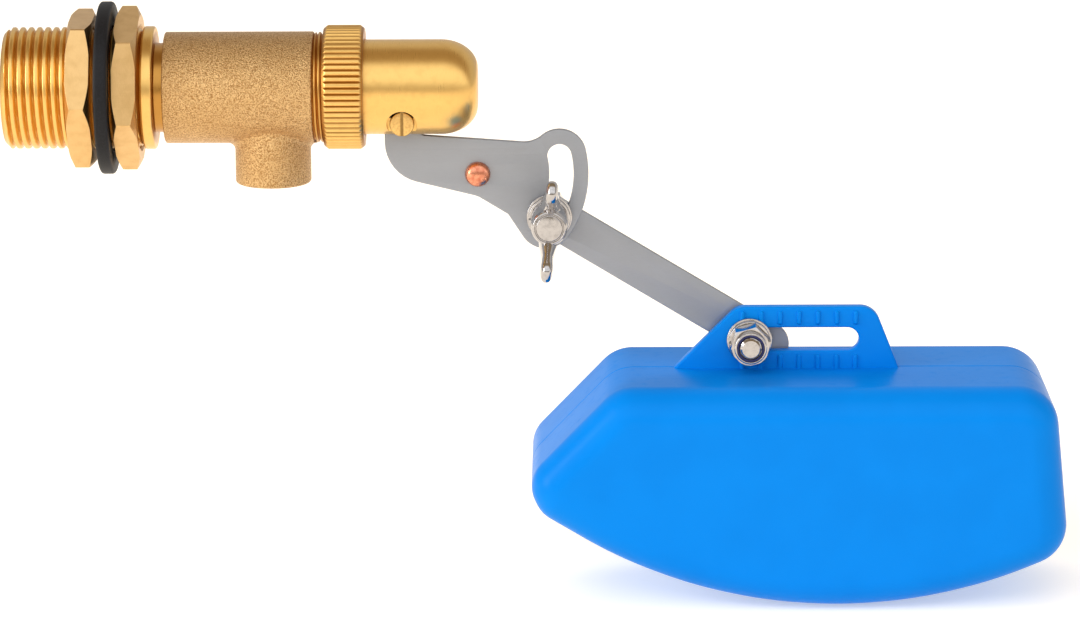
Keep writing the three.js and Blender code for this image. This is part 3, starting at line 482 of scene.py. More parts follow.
def threaded(start, end, crest, depth, pitch, bore, lead, rows, sides, axis="x", centre=(0, 0)):
    """Radius = crest - depth * (1 - wave) ** CREST_BREADTH, under a 45 degree cone at each end."""
    angle = np.linspace(0, 2 * np.pi, sides + 1)
    along = np.linspace(start, end, rows)[:, None]
    wave = 0.5 - 0.5 * np.cos(2 * np.pi * (along / pitch - angle / (2 * np.pi)))
    radius = crest - depth * (1 - wave) ** CREST_BREADTH
    cone = crest - lead + np.minimum(along - start, end - along)
    outside = place_round(along, np.minimum(radius, cone), angle, axis, centre)
    inner = place_round(np.array([[start], [end]]), bore, angle, axis, centre)
    return np.concatenate([inner[:1], outside, inner[1:], inner[:1]])


inlet_thread = threaded(
    THREAD_START, THREAD_END, THREAD_RADIUS, THREAD_DEPTH, THREAD_PITCH, INLET_RADIUS, THREAD_LEAD, 300, 180)
make_piece("inlet_thread", [inlet_thread], thread_brass, "valve", ["valve_body"], crease=50)

# %% [markdown]
# ## Collar, neck and the tee's barrel
# Right of the thread the lathe left a collar and a narrow neck, both bright. The barrel behind them
# keeps its cast skin, with thin crisp edges where its ends were faced. Each is one turned profile
# with the bore as its inner side.

# %% Collar, neck and barrel
COLLAR_RADIUS, COLLAR_END = 13.35, 12.0
NECK_RADIUS, BARREL_START = 9.7, 14.1
BARREL_RADIUS, BARREL_END = 12.1, 46.4
CHAMBER_RADIUS, CHAMBER_START = 9.0, 26
NOZZLE_RADIUS, NOZZLE_START = 5.6, 20

make_piece("collar_and_neck", [turned(soften([
    (THREAD_END, INLET_RADIUS), (THREAD_END, COLLAR_RADIUS, 0.5), (COLLAR_END, COLLAR_RADIUS, 0.5),
    (COLLAR_END, NECK_RADIUS, 0.4), (BARREL_START, NECK_RADIUS), (BARREL_START, INLET_RADIUS),
], 5, closed=True), 192)], thread_brass, "valve")

barrel = make_piece("cast_barrel", [turned(soften([
    (BARREL_START, INLET_RADIUS), (BARREL_START, BARREL_RADIUS, 0.35), (BARREL_END, BARREL_RADIUS, 0.35),
    (BARREL_END, CHAMBER_RADIUS), (CHAMBER_START, CHAMBER_RADIUS), (CHAMBER_START, NOZZLE_RADIUS),
    (NOZZLE_START, NOZZLE_RADIUS), (NOZZLE_START, INLET_RADIUS),
], 5, closed=True), 192)], cast_brass, "valve")

# %% [markdown]
# ## The spout and its fillet
# The casting blends from the barrel into the spout. A ball that rolls along the corner between the
# two cylinders draws that blend exactly: its centre keeps a ball's radius away from both, and the
# fillet is the arc between its two touching points.

# %% Spout
SPOUT_X, SPOUT_RADIUS, SPOUT_BORE = 37.2, 8.25, 6.0
SPOUT_RIM = span("valve_body")[0][2]
FILLET = 1.6
LINING_TOP, WALL_TOP = -7.5, -13.5
BORE_TOP, BORE_FOOT = -7, -14
SUNK = 0.97


def spout_skin(steps=10, sides=160):
    """Arc of radius FILLET about the rolling ball's centre, from the spout's wall to the barrel's."""
    angle = np.linspace(0, 2 * np.pi, sides + 1)
    reach = SPOUT_RADIUS + FILLET
    depth = np.sqrt((BARREL_RADIUS + FILLET) ** 2 - (reach * np.sin(angle)) ** 2)
    centre = np.stack([reach * np.cos(angle), reach * np.sin(angle), -depth], -1)
    to_spout = -np.stack([np.cos(angle), np.sin(angle), 0 * angle], -1)
    to_barrel = -unit(centre * [0, 1, 1])
    turn = np.arccos(np.clip((to_spout * to_barrel).sum(-1), -1, 1))[None, :, None]
    part = np.linspace(0, 1, steps)[:, None, None]
    arc = (np.sin((1 - part) * turn) * to_spout + np.sin(part * turn) * to_barrel) / np.sin(turn)
    return centre[None] + FILLET * arc + [SPOUT_X, 0, 0]


fillet = spout_skin()
lip = turned(soften([
    (LINING_TOP, SPOUT_BORE), (SPOUT_RIM, SPOUT_BORE, 0.3), (SPOUT_RIM, SPOUT_RADIUS, 0.7),
    (WALL_TOP, SPOUT_RADIUS),
], 6), 160, "z", (SPOUT_X, 0))
root = fillet[-1:] * [1, SUNK, SUNK]
crown = place_round(root[..., 2], SPOUT_BORE, np.linspace(0, 2 * np.pi, 161), "z", (SPOUT_X, 0))
make_piece("spout", [np.concatenate([lip, fillet, root, crown, lip[:1]])], cast_brass, "valve")
bore = soften([(BORE_TOP, 0), (BORE_TOP, SPOUT_BORE), (BORE_FOOT, SPOUT_BORE), (BORE_FOOT, 0)])
cut_away(barrel, [turned(bore, 96, "z", (SPOUT_X, 0))])

# %% [markdown]
# ## Hexagon locknuts
# A hexagon nut is bar with its corners turned off by a cone at each face, which leaves the curved
# scallops. The cone meets the flats where hexagon radius = face radius + distance / tan 27, so the
# grid's rows are put exactly on that curve and the crease stays clean.


# %% Locknuts
CHAMFER_ANGLE = 27
LOCKNUT_FLATS, LOCKNUT_FACE, LOCKNUT_EDGE = 31, 15.8, 0.14
LOCKNUT_TURNS = {"outer": -24.5, "inner": -12.5}
SLIVER = 0.02


def hexagon_sheet(start, end, flats, face, bore, turn=0.0, axis="x", centre=(0, 0), step=2.0, mouth=0.3):
    """Rows from the bore over the face, chamfer and flats and back. face is the turned face's radius."""
    angle = np.radians(np.arange(0, 360 + step, step))
    flat_angle = np.mod(angle - math.radians(turn), math.pi / 3) - math.pi / 6
    wide = flats / 2 / np.cos(flat_angle)
    drop = np.maximum(wide - face, SLIVER) * math.tan(math.radians(CHAMFER_ANGLE))
    rim = np.minimum(wide - SLIVER, face)
    ones = np.ones_like(angle)
    rows = [
        (start + mouth, bore), (start, bore + mouth), (start, rim), (start + drop, wide),
        (end - drop, wide), (end, rim), (end, bore + mouth), (end - mouth, bore), (start + mouth, bore),
    ]
    along = np.stack([a * ones for a, _ in rows])
    radius = np.stack([r * ones for _, r in rows])
    return place_round(along, radius, angle[None], axis, centre)


for nut, turn in LOCKNUT_TURNS.items():
    low, high = span(nut + "_locknut")
    # turn is the angle of a flat's middle. The sheet counts from a corner, 30 degrees further round.
    hexagon = hexagon_sheet(
        low[0], high[0], LOCKNUT_FLATS, LOCKNUT_FACE, THREAD_RADIUS + 0.1, turn + 30, step=1.0, mouth=0.5)
    nut_piece = make_piece(nut + "_locknut_hexagon", [hexagon], locknut_brass, nut + "_nut",
                           [nut + "_locknut"], crease=25)
    edge = nut_piece.modifiers.new("worn_edge", "BEVEL")
    edge.width = LOCKNUT_EDGE * MM
    edge.segments = 2
    edge.angle_limit = math.radians(28)

# %% [markdown]
# ## Gasket, fine thread and the knurled nut
# The tank gasket is a thick rubber ring. On the right end of the barrel two turns of a fine thread
# show beside the knurled nut. A knurl is a row of small V grooves along the nut: its radius falls
# by a wedge at every tooth gap, and both ends are chamfered so that the teeth fade out.

# %% Gasket, cap thread and knurled nut
GASKET_BORE_RADIUS, GASKET_EDGE = 13.72, 0.7
CAP_THREAD_END, CAP_THREAD_RADIUS, CAP_THREAD_DEPTH, CAP_THREAD_PITCH = 52.4, 11.98, 0.5, 1.0
low, high = span("tank_gasket")
make_piece("tank_gasket_ring", [turned_ring(low[0], high[0], GASKET_BORE_RADIUS, high[1], GASKET_EDGE, 192)],
           rubber, "valve", ["tank_gasket"])

cap_thread = threaded(
    BARREL_END, CAP_THREAD_END, CAP_THREAD_RADIUS, CAP_THREAD_DEPTH, CAP_THREAD_PITCH, CHAMBER_RADIUS,
    0.5, 120, 160)
make_piece("cap_thread", [cap_thread], thread_brass, "valve", crease=50)

low, high = span("union_nut")
KNURL_TEETH, KNURL_DEPTH, KNURL_RADIUS = 62, 0.5, 13.5
KNURL_GAP, TOOTH_CROWN, END_SLOPE = 0.34, 0.06, 0.8
NUT_FACE_RADIUS, NUT_THREAD_RADIUS = 12.4, 12.12
NUT_MOUTH_RADIUS, NUT_LIP_START = 10.45, 55.5


def knurled(start, end, crest, depth, teeth, lead=0.9, rows=9, samples=10):
    """Radius = crest - depth * wedge. The wedge is 1 in each gap's middle and 0 over the tooth."""
    angle = np.linspace(0, 2 * np.pi, teeth * samples + 1)
    from_gap = np.abs(np.mod(angle * teeth / (2 * np.pi), 1) - 0.5)
    wedge = np.clip(1 - from_gap / KNURL_GAP, 0, 1)
    tooth = crest - depth * wedge - TOOTH_CROWN * (2 * from_gap) ** 4
    part = np.linspace(0, 1, rows)
    along = np.concatenate([start + lead * part, end - lead * part[::-1]])[:, None]
    cone = crest - END_SLOPE * lead * (1 - np.concatenate([part, part[::-1]])[:, None])
    return place_round(along, np.minimum(tooth, cone), angle)


teeth = knurled(low[0], high[0], KNURL_RADIUS, KNURL_DEPTH, KNURL_TEETH)
inside = soften([
    (high[0], NUT_FACE_RADIUS), (high[0], NUT_MOUTH_RADIUS, 0.3), (NUT_LIP_START, NUT_MOUTH_RADIUS),
    (NUT_LIP_START, NUT_THREAD_RADIUS), (low[0], NUT_THREAD_RADIUS, 0.2), (low[0], NUT_FACE_RADIUS),
], 3)
around = np.linspace(0, 2 * np.pi, teeth.shape[1])
well = place_round(inside[:, 0, None], inside[:, 1, None], around)
make_piece("knurled_nut", [np.concatenate([teeth, well, teeth[:1]])], knurled_brass, "cap_nut",
           ["union_nut"], crease=40)

# %% [markdown]
# ## The domed cap and its pin
# The cap is one turned profile: a flange, a straight wall, and a shoulder that rounds into a flat
# nose. Its guide bore, the lever's slot underneath and the hole for the pin are then cut away, as a
# machinist would. The pin is turned and gets its screwdriver slot the same way. Its colour darkens
# in the slot and at the rim, by the distance from each: painted shade for the shadow in the slot and round
# the head.

# %% Domed cap and pin
low, high = span("dome_cap")
DOME_RADIUS, NOSE_RADIUS, SHOULDER = 10.3, 4.1, 8.0
FLANGE_RADIUS, FLANGE_END = 11.5, 55.45
GUIDE_RADIUS, GUIDE_END = 8, 72
PIN_X, PIN_Z = 65.6, -7.1
PIN_HEAD, PIN_SHANK, PIN_HEAD_LENGTH = 2.65, 2.0, 1.4
SLOT_HALF_WIDTH, SLOT_DEPTH = 0.35, 0.6
LEVER_SLOT = (61.25, -1.2, -12), (84, 1.2, -4.2)
COUNTERBORE_RADIUS, COUNTERBORE_FLOOR = 3.32, -5.45
quarter = np.linspace(math.pi / 2, 0, 26)
shoulder = np.stack([
    high[0] - SHOULDER + SHOULDER * np.cos(quarter),
    NOSE_RADIUS + (DOME_RADIUS - NOSE_RADIUS) * np.sin(quarter),
], 1)
outline = np.concatenate([
    soften([
        (GUIDE_END, 0), (GUIDE_END, GUIDE_RADIUS), (low[0], GUIDE_RADIUS, 0.3), (low[0], FLANGE_RADIUS),
        (FLANGE_END, FLANGE_RADIUS), (FLANGE_END, DOME_RADIUS), (58, DOME_RADIUS),
    ], 4),
    np.stack([np.linspace(58.4, high[0] - SHOULDER - 0.4, 40), np.full(40, DOME_RADIUS)], 1),
    shoulder,
    [(high[0], 3.0), (high[0], 0), (GUIDE_END, 0)],
])
dome = make_piece("dome", [turned(outline, 256)], dome_brass, "valve",
                  ["dome_cap"], crease=30)
pin_low, pin_high = span("lever_pin")


def block(low_corner, high_corner):
    """A box as one sheet: its four sides, closed at both ends by rows that shrink to a line."""
    (x0, y0, z0), (x1, y1, z1) = low_corner, high_corner
    ring = np.array([(x0, y0), (x1, y0), (x1, y1), (x0, y1), (x0, y0)], float)
    middle = np.broadcast_to(((x0 + x1) / 2, (y0 + y1) / 2), ring.shape)
    rows = [(middle, z0), (ring, z0), (ring, z1), (middle, z1)]
    return np.stack([np.column_stack([xy, np.full(5, z)]) for xy, z in rows])


def drill(start, end, radius, x, z, sides=64):
    """A plain cylinder on Y for cutting a hole."""
    profile = np.array([(start, 0), (start, radius), (end, radius), (end, 0)], float)
    return turned(profile, sides, "y", (x, z))


cut_away(dome, [block(*LEVER_SLOT)], 30)
cut_away(dome, [
    drill(-12, COUNTERBORE_FLOOR, COUNTERBORE_RADIUS, PIN_X, PIN_Z),
    drill(-5.3, 12, PIN_SHANK + 0.05, PIN_X, PIN_Z),
], 30)

pin_brass = Finish("pin_brass", Metallic=1.0, Roughness=0.25)
from_slot = pin_brass.radius((1, 0, 0), (PIN_X, 0, 0))
from_axis = pin_brass.radius((1, 0, 1), (PIN_X, 0, PIN_Z))
smear = pin_brass.spots(0.5, 3.0)
# Painted shade: the colour darkens in the screwdriver slot and at the head's rim.
out_of_painted_shade = 0.35 + from_slot.ramp(0.22, 0.4) * (1 - from_axis.ramp(2.3, 2.7) * 0.7) * 0.65
pin_brass.feed("Base Color", pin_brass.blend(out_of_painted_shade, (0.09, 0.045, 0.012, 1), pin_brass.blend(
    smear.ramp(0.4, 0.7) * 0.5, (0.82, 0.53, 0.19, 1), (0.55, 0.30, 0.09, 1))))
pin_brass.feed("Roughness", 0.2 + smear * 0.25)
pin_brass.raise_by(smear, 0.03)

pin = make_piece("slotted_pin", [turned(soften([
    (pin_low[1], 0), (pin_low[1], PIN_HEAD, 0.25), (pin_low[1] + PIN_HEAD_LENGTH, PIN_HEAD, 0.1),
    (pin_low[1] + PIN_HEAD_LENGTH, PIN_SHANK), (pin_high[1], PIN_SHANK, 0.3), (pin_high[1], 0),
], 4), 64, "y", (PIN_X, PIN_Z))], pin_brass, "valve", ["lever_pin"])
cut_away(pin, [block(
    (PIN_X - SLOT_HALF_WIDTH, -8, PIN_Z - 4), (PIN_X + SLOT_HALF_WIDTH, pin_low[1] + SLOT_DEPTH, PIN_Z + 4),
)])

# %% [markdown]
# ## Flat sheet pieces
# The lever and the arm are blanked from sheet, so they are an outline with holes. The cut edge is a
# small rounded profile carried along every outline, and the two flat faces are filled with
# triangles. Points move into the metal along the outline's own normal, which keeps the edge even.


# %% Sheet pieces
def drawn_in(loop, distance):
    """A closed anticlockwise loop moved inwards by a distance, along its normals."""
    ring = loop[:-1]
    ahead, behind = unit(np.roll(ring, -1, 0) - ring), unit(ring - np.roll(ring, 1, 0))
    inward = np.stack([-(ahead + behind)[:, 1], (ahead + behind)[:, 0]], 1)
    moved = ring + distance * inward * (2 / (inward ** 2).sum(1, keepdims=True))
    return np.concatenate([moved, moved[:1]])


def circle(x, z, radius, sides=48):
    """A closed loop of points at one distance from (x, z)."""
    angle = np.linspace(0, 2 * np.pi, sides + 1)
    return np.stack([x + radius * np.cos(angle), z + radius * np.sin(angle)], 1)


def bow(x, z, radius, start, end, steps=24):
    """Arc from one angle to another, in degrees."""
    angle = np.radians(np.linspace(start, end, steps + 1))
    return np.stack([x + radius * np.cos(angle), z + radius * np.sin(angle)], 1)


def stadium(first, second, width, steps=24):
    """Two half circles joined by straight sides."""
    heading = math.degrees(math.atan2(second[1] - first[1], second[0] - first[0]))
    loop = np.concatenate([
        bow(*second, width / 2, heading - 90, heading + 90, steps),
        bow(*first, width / 2, heading + 90, heading + 270, steps),
    ])
    return np.concatenate([loop, loop[:1]])


def blanked(outer, holes, front, back, edge_front, edge_back, steps=4):
    """Sheets and flats of a plate in the XZ plane between two places on Y, its cut edges rounded."""
    turn = np.linspace(0, math.pi / 2, steps + 1)
    inset = np.concatenate([edge_front * (1 - np.sin(turn)), edge_back * (1 - np.cos(turn))])
    depth = np.concatenate([front + edge_front * (1 - np.cos(turn)), back - edge_back * (1 - np.sin(turn))])
    loops = [(outer, 1.0)] + [(hole, -1.0) for hole in holes]
    sheets, faces = [], {0: [], -1: []}
    for loop, side in loops:
        rings = [drawn_in(loop, side * distance) for distance in inset]
        sheets.append(np.stack([
            np.stack([ring[:, 0], np.full(len(ring), y), ring[:, 1]], 1) for ring, y in zip(rings, depth)
        ]))
        for end in faces:
            faces[end].append(sheets[-1][end][:-1])
    flats = [
        (np.concatenate(rings), tessellate_polygon([[tuple(p) for p in ring * [1, 0, 1]] for ring in rings]))
        for rings in faces.values()
    ]
    return sheets, flats


# %% [markdown]
# ## The lever and its rivet
# The lever's outline joins a round finger inside the dome, a heel, and a quadrant round the rivet
# with an arc slot for the wing screw. The rivet's head is a polished copper dome.

# %% Lever and rivet
RIVET = np.array([81.8, -19.3])
RIVET_HEAD, RIVET_SHANK, RIVET_SEAT, RIVET_TAIL = 2.75, 2.0, -0.8, 2.35
PIVOT_BORE, CUT_EDGE = 2.1, 0.16
FINGER_X, FINGER_RADIUS = 65.3, 3.7
plate_low, plate_high = span("quadrant_plate")


def round_rivet(radius, degrees):
    """A point at a distance from the rivet, in a direction given in degrees."""
    angle = math.radians(degrees)
    return RIVET + radius * np.array([math.cos(angle), math.sin(angle)])


SLOT_RADIUS, SLOT_HALF, SLOT_RIM = 18.3, 2.65, 5.9
SLOT_TOP, SLOT_BOTTOM = 12.5, -36
upper, lower = round_rivet(SLOT_RADIUS, SLOT_TOP), round_rivet(SLOT_RADIUS, SLOT_BOTTOM)


def sharp(points):
    """Points that need no softening."""
    return np.column_stack([points, np.zeros(len(points))])


lever_outline = soften(np.concatenate([
    sharp(bow(FINGER_X, 0, FINGER_RADIUS, 0, 180)),
    [(FINGER_X - FINGER_RADIUS, RIVET[1], 9), (RIVET[0], RIVET[1] - 4.9, 6)],
    [(lower[0] - 8.2, lower[1] + 1.8, 1.0)],
    sharp(bow(*lower, SLOT_RIM, 215, 360 + SLOT_BOTTOM)),
    sharp(bow(*RIVET, SLOT_RADIUS + SLOT_RIM, SLOT_BOTTOM, SLOT_TOP)[1:-1]),
    sharp(bow(*upper, SLOT_RIM, SLOT_TOP, 130)),
    [(upper[0] - 5.6, upper[1] + 2.9, 6), (69.4, -10.6, 1.0)],
]), 8, closed=True)
slot_loop = np.concatenate([
    bow(*lower, SLOT_HALF, 180 + SLOT_BOTTOM, 360 + SLOT_BOTTOM),
    bow(*RIVET, SLOT_RADIUS + SLOT_HALF, SLOT_BOTTOM, SLOT_TOP)[1:-1],
    bow(*upper, SLOT_HALF, SLOT_TOP, SLOT_TOP + 180),
    bow(*RIVET, SLOT_RADIUS - SLOT_HALF, SLOT_TOP, SLOT_BOTTOM)[1:-1],
])
slot_loop = np.concatenate([slot_loop, slot_loop[:1]])
sheets, flats = blanked(
    lever_outline, [slot_loop, circle(PIN_X, PIN_Z, PIVOT_BORE), circle(*RIVET, PIVOT_BORE)],
    plate_low[1], plate_high[1], CUT_EDGE, CUT_EDGE,
)
make_piece("lever_plate", sheets, steel, "lever", ["quadrant_plate"], flats=flats)

rivet_low, rivet_high = span("pivot_rivet")
head = np.linspace(0, math.pi / 2, 20)
head_height = RIVET_SEAT - rivet_low[1]
rivet_profile = np.concatenate([
    np.stack([RIVET_SEAT - head_height * np.cos(head), RIVET_HEAD * np.sin(head)], 1),
    soften([
        (RIVET_SEAT, RIVET_HEAD - 0.05), (RIVET_SEAT, RIVET_SHANK), (RIVET_TAIL, RIVET_SHANK),
        (RIVET_TAIL, RIVET_HEAD, 0.15), (rivet_high[1], RIVET_HEAD, 0.4), (rivet_high[1], 0),
    ], 4),
])
make_piece("copper_rivet", [turned(rivet_profile, 64, "y", RIVET)], copper, "lever",
           ["pivot_rivet"])

# %% [markdown]
# ## The arm
# The arm is a straight strip with round ends, sloping down from the rivet to the float. It has three
# holes: for the rivet, the wing screw and the float bolt.

# %% Arm
ARM_ANGLE = math.radians(-31.2)
ARM_WIDTH, ARM_BOLT, ARM_BOLT_BELOW, ARM_TIP = 9, 70, 0.8, 4.6
SCREW_BORE = 2.6
along_arm = np.array([math.cos(ARM_ANGLE), math.sin(ARM_ANGLE)])
arm_low, arm_high = span("arm_strip")
screw_at = RIVET + SLOT_RADIUS * along_arm
arm_end = RIVET + (ARM_BOLT + ARM_TIP) * along_arm
bolt_at = RIVET + ARM_BOLT * along_arm + ARM_BOLT_BELOW * np.array([along_arm[1], -along_arm[0]])
sheets, flats = blanked(
    stadium(RIVET, arm_end, ARM_WIDTH),
    [circle(*RIVET, PIVOT_BORE), circle(*screw_at, SCREW_BORE), circle(*bolt_at, SCREW_BORE)],
    arm_low[1], arm_high[1], CUT_EDGE, CUT_EDGE,
)
make_piece("arm_blade", sheets, steel, "arm", ["arm_strip"], flats=flats)
print("wing screw at", np.round(screw_at, 2).tolist(), "float bolt at", np.round(bolt_at, 2).tolist())

# %% [markdown]
# ## Washers and nuts
# Flat washers are softened rings. A spring washer is a bar of square section wound once round the
# screw and cut through, so the section is carried round the axis and stops short of a full turn. The
# nuts reuse the locknut's hexagon sheet on the Y axis.


# %% Washers and nuts
WASHER_RADIUS, SPRING_RADIUS = 5.0, 4.6
NUT_FLATS, NUT_FACE = 8, 4.08
COLLAR_WALL, RING_POCKET, POCKET_DEPTH = 3.6, 3.05, 1.3


def spring_coil(node, centre, cut_at=180.0, gap=9.0):
    """A softened square section carried round Y, from one side of the cut to the other."""
    low, high = span(node)
    section = soften([
        (low[1], SCREW_BORE, 0.12), (low[1], SPRING_RADIUS, 0.2),
        (high[1], SPRING_RADIUS, 0.2), (high[1], SCREW_BORE, 0.12),
    ], 4, closed=True)
    angle = np.radians(np.linspace(cut_at + gap / 2, cut_at + 360 - gap / 2, 97))
    coil = place_round(section[:, 0, None], section[:, 1, None], angle, "y", centre)
    ends = [np.stack([coil[:, i], np.broadcast_to(coil[:-1, i].mean(0), coil[:, i].shape)]) for i in (0, -1)]
    return [coil] + ends


def washer_piece(node, body, centre):
    """A flat washer in the place of a packed one."""
    low, high = span(node)
    ring = turned_ring(low[1], high[1], SCREW_BORE, WASHER_RADIUS, 0.18, 96, "y", centre)
    make_piece(node + "_ring", [ring], nickel, body, [node])


washer_piece("wing_washer", "arm", screw_at)
washer_piece("rear_washer", "float_clamp", bolt_at)
washer_piece("front_washer", "float_clamp", bolt_at)
make_piece("wing_spring_coil", spring_coil("wing_spring_washer", screw_at), nickel, "arm",
           ["wing_spring_washer"])
make_piece("float_spring_coil", spring_coil("spring_washer", bolt_at), nickel, "float_clamp",
           ["spring_washer"])

low, high = span("arm_nut")
make_piece("arm_hexagon_nut",
           [hexagon_sheet(low[1], high[1], NUT_FLATS, NUT_FACE, SCREW_BORE, 0, "y", screw_at, 3)],
           nickel, "arm", ["arm_nut"], crease=25)

nut_low, nut_high = span("lock_nut")
collar = soften([
    (nut_high[1] - 0.5, SCREW_BORE), (nut_low[1] + POCKET_DEPTH, SCREW_BORE),
    (nut_low[1] + POCKET_DEPTH, RING_POCKET), (nut_low[1], RING_POCKET, 0.1),
    (nut_low[1], COLLAR_WALL - 0.05, 0.35), (nut_low[1] + 1.4, COLLAR_WALL), (nut_high[1] - 0.5, COLLAR_WALL),
], 5, closed=True)
make_piece("lock_nut_hexagon", [
    hexagon_sheet(nut_low[1] + 1.6, nut_high[1], NUT_FLATS, NUT_FACE, SCREW_BORE, 15, "y", bolt_at, 3),
    turned(collar, 96, "y", bolt_at),
], nickel, "float_clamp", ["lock_nut"], crease=25)
ring_low, ring_high = span("lock_nut_ring")
nylon_ring = turned_ring(ring_low[1] + 0.25, ring_high[1], 2.56, 3.0, 0.12, 64, "y", bolt_at)
make_piece("lock_nut_nylon", [nylon_ring], nylon, "float_clamp", ["lock_nut_ring"])

# %% [markdown]
# ## Float bolt and wing screw
# The bolt's end is a threaded shank with a rounded tip, and its head sits behind the arm. The wing
# screw is a turned boss with two wings. Each wing is a rounded section that slides from the boss to
# the tip while its width shrinks, swells a little and closes in a round end.

# %% Float bolt and wing screw
SCREW_DEPTH, SCREW_PITCH = 0.3, 0.8
bolt_low, bolt_high = span("float_bolt")
shank = threaded(bolt_low[1], 3.6, 2.48, SCREW_DEPTH, SCREW_PITCH, 0.0, 0.6, 130, 72, "y", bolt_at)
make_piece("float_bolt_steel", [
    shank, hexagon_sheet(3.4, bolt_high[1], NUT_FLATS, 3.9, 0.0, 10, "y", bolt_at, 3, mouth=0.0),
], nickel, "float_clamp", ["float_bolt"], crease=30)

screw_end = span("wing_screw")[1][1]
BOSS_SEAT, BOSS_FRONT, BOSS_RADIUS = -3.1, -13.7, 4.15
WING_LEAN = math.radians(4)
TIP_START = 0.82
boss = soften([
    (BOSS_FRONT - 0.1, 0), (BOSS_FRONT + 0.05, 2.75, 0.2), (BOSS_FRONT + 0.4, 2.95, 0.1),
    (BOSS_FRONT + 0.4, 3.1, 0.1), (BOSS_FRONT + 0.1, 3.25, 0.1), (BOSS_FRONT + 0.2, 3.6, 0.3),
    (BOSS_FRONT + 1.2, 3.95, 0.5), (BOSS_SEAT - 0.6, BOSS_RADIUS, 0.3),
    (BOSS_SEAT, BOSS_RADIUS - 0.3, 0.1), (BOSS_SEAT, 0),
], 5)


def wing_sheet(side, rows=49, columns=40):
    """Centre line from the boss to the tip; half width and half thickness close as a quarter ellipse."""
    part = np.linspace(0, 1, rows)
    stops = np.array([0, 0.22, 0.5, 0.8, 1.0])
    middle_y = np.interp(part, stops, [-8.9, -9.8, -12.8, -16.2, -19.3])
    middle_z = np.interp(part, stops, [2.6, 4.2, 6.1, 8.3, 10.0])
    middle_y, middle_z = (
        np.convolve(np.pad(line, 3, mode="edge"), np.ones(7) / 7, "valid") for line in (middle_y, middle_z)
    )
    wide = np.interp(part, [0, 0.25, 0.6, 1], [4.0, 3.3, 2.6, 2.5])
    thick = np.interp(part, [0, 0.2, 0.6, 0.85, 1], [2.5, 2.0, 1.2, 1.38, 1.38])
    closing = np.sqrt(np.clip(1 - np.clip((part - TIP_START) / (1 - TIP_START), 0, 1) ** 2, 0, 1))
    slope = unit(np.stack([np.gradient(middle_y), np.gradient(middle_z)], 1))
    across = np.stack([slope[:, 1], -slope[:, 0]], 1)
    angle = np.linspace(0, 2 * np.pi, columns + 1)
    flat_x = np.sign(np.cos(angle)) * np.abs(np.cos(angle)) ** 0.8
    flat_w = np.sign(np.sin(angle)) * np.abs(np.sin(angle)) ** 0.7
    x = (thick * closing)[:, None] * flat_x
    w = (wide * closing)[:, None] * flat_w
    y = middle_y[:, None] + across[:, :1] * w
    z = middle_z[:, None] + across[:, 1:] * w
    sheet = np.stack([x, y, z * side], -1)
    start = np.broadcast_to(sheet[:1, :-1].mean(1, keepdims=True), sheet[:1].shape)
    return np.concatenate([start, sheet])


def leaned(sheet):
    """Turned a little about the screw's axis and moved onto it."""
    x, y, z = sheet[..., 0], sheet[..., 1], sheet[..., 2]
    c, s = math.cos(WING_LEAN), math.sin(WING_LEAN)
    return np.stack([screw_at[0] + x * c + z * s, y, screw_at[1] - x * s + z * c], -1)


make_piece("wing_screw_nickel", [
    turned(boss, 96, "y", screw_at),
    threaded(BOSS_SEAT - 0.2, screw_end, 2.45, SCREW_DEPTH, SCREW_PITCH, 0.0, 0.5, 100, 64, "y", screw_at),
    leaned(wing_sheet(1)), leaned(wing_sheet(-1)),
], nickel, "wing", ["wing_screw"], crease=35)

# %% [markdown]
# ## The float
# The float is a blown box: a side outline carried across its width, drawn in along a quarter circle
# near each face so that the edges are round. It is made as two halves that meet in a shallow seam,
# each with its wall, so the inside is hollow as on the real one.

# %% Float halves
BOLT_TO_BOW, BOLT_TO_STERN, FLOAT_HEIGHT = 49.26, 69.28, 49.1
FLOAT_LEFT, FLOAT_RIGHT = bolt_at[0] - BOLT_TO_BOW, bolt_at[0] + BOLT_TO_STERN
FLOAT_TOP = arm_end[1] - 4.8
FLOAT_BOTTOM = FLOAT_TOP - FLOAT_HEIGHT
FLOAT_CORNER, BOW_CORNER, BOW_SLOPE, STERN_LEAN = 9, 7.3, math.radians(46), 3.6
FLOAT_MIDDLE, FLOAT_HALF, FLOAT_EDGE, FLOAT_WALL = -0.7, 25.0, 7.0, 2.0
BELLY_X, BELLY_RADIUS, CHIN_X = FLOAT_LEFT + 68, 110.0, FLOAT_LEFT + 3.4
SEAM_DEPTH, SEAM_HALF = 0.22, 0.3

belly_x = np.linspace(CHIN_X, FLOAT_RIGHT, 8)
belly_z = FLOAT_BOTTOM + BELLY_RADIUS - np.sqrt(BELLY_RADIUS ** 2 - (belly_x - BELLY_X) ** 2)
bow_z = belly_z[0] + 7.4
float_outline = soften(np.concatenate([
    np.stack([belly_x, belly_z, [BOW_CORNER, *[100] * 6, FLOAT_CORNER]], 1),
    [(FLOAT_RIGHT - STERN_LEAN, FLOAT_TOP, FLOAT_CORNER),
     (FLOAT_LEFT + (FLOAT_TOP - bow_z) / math.tan(BOW_SLOPE), FLOAT_TOP, FLOAT_CORNER),
     (FLOAT_LEFT, bow_z, BOW_CORNER)],
]), 10, closed=True)


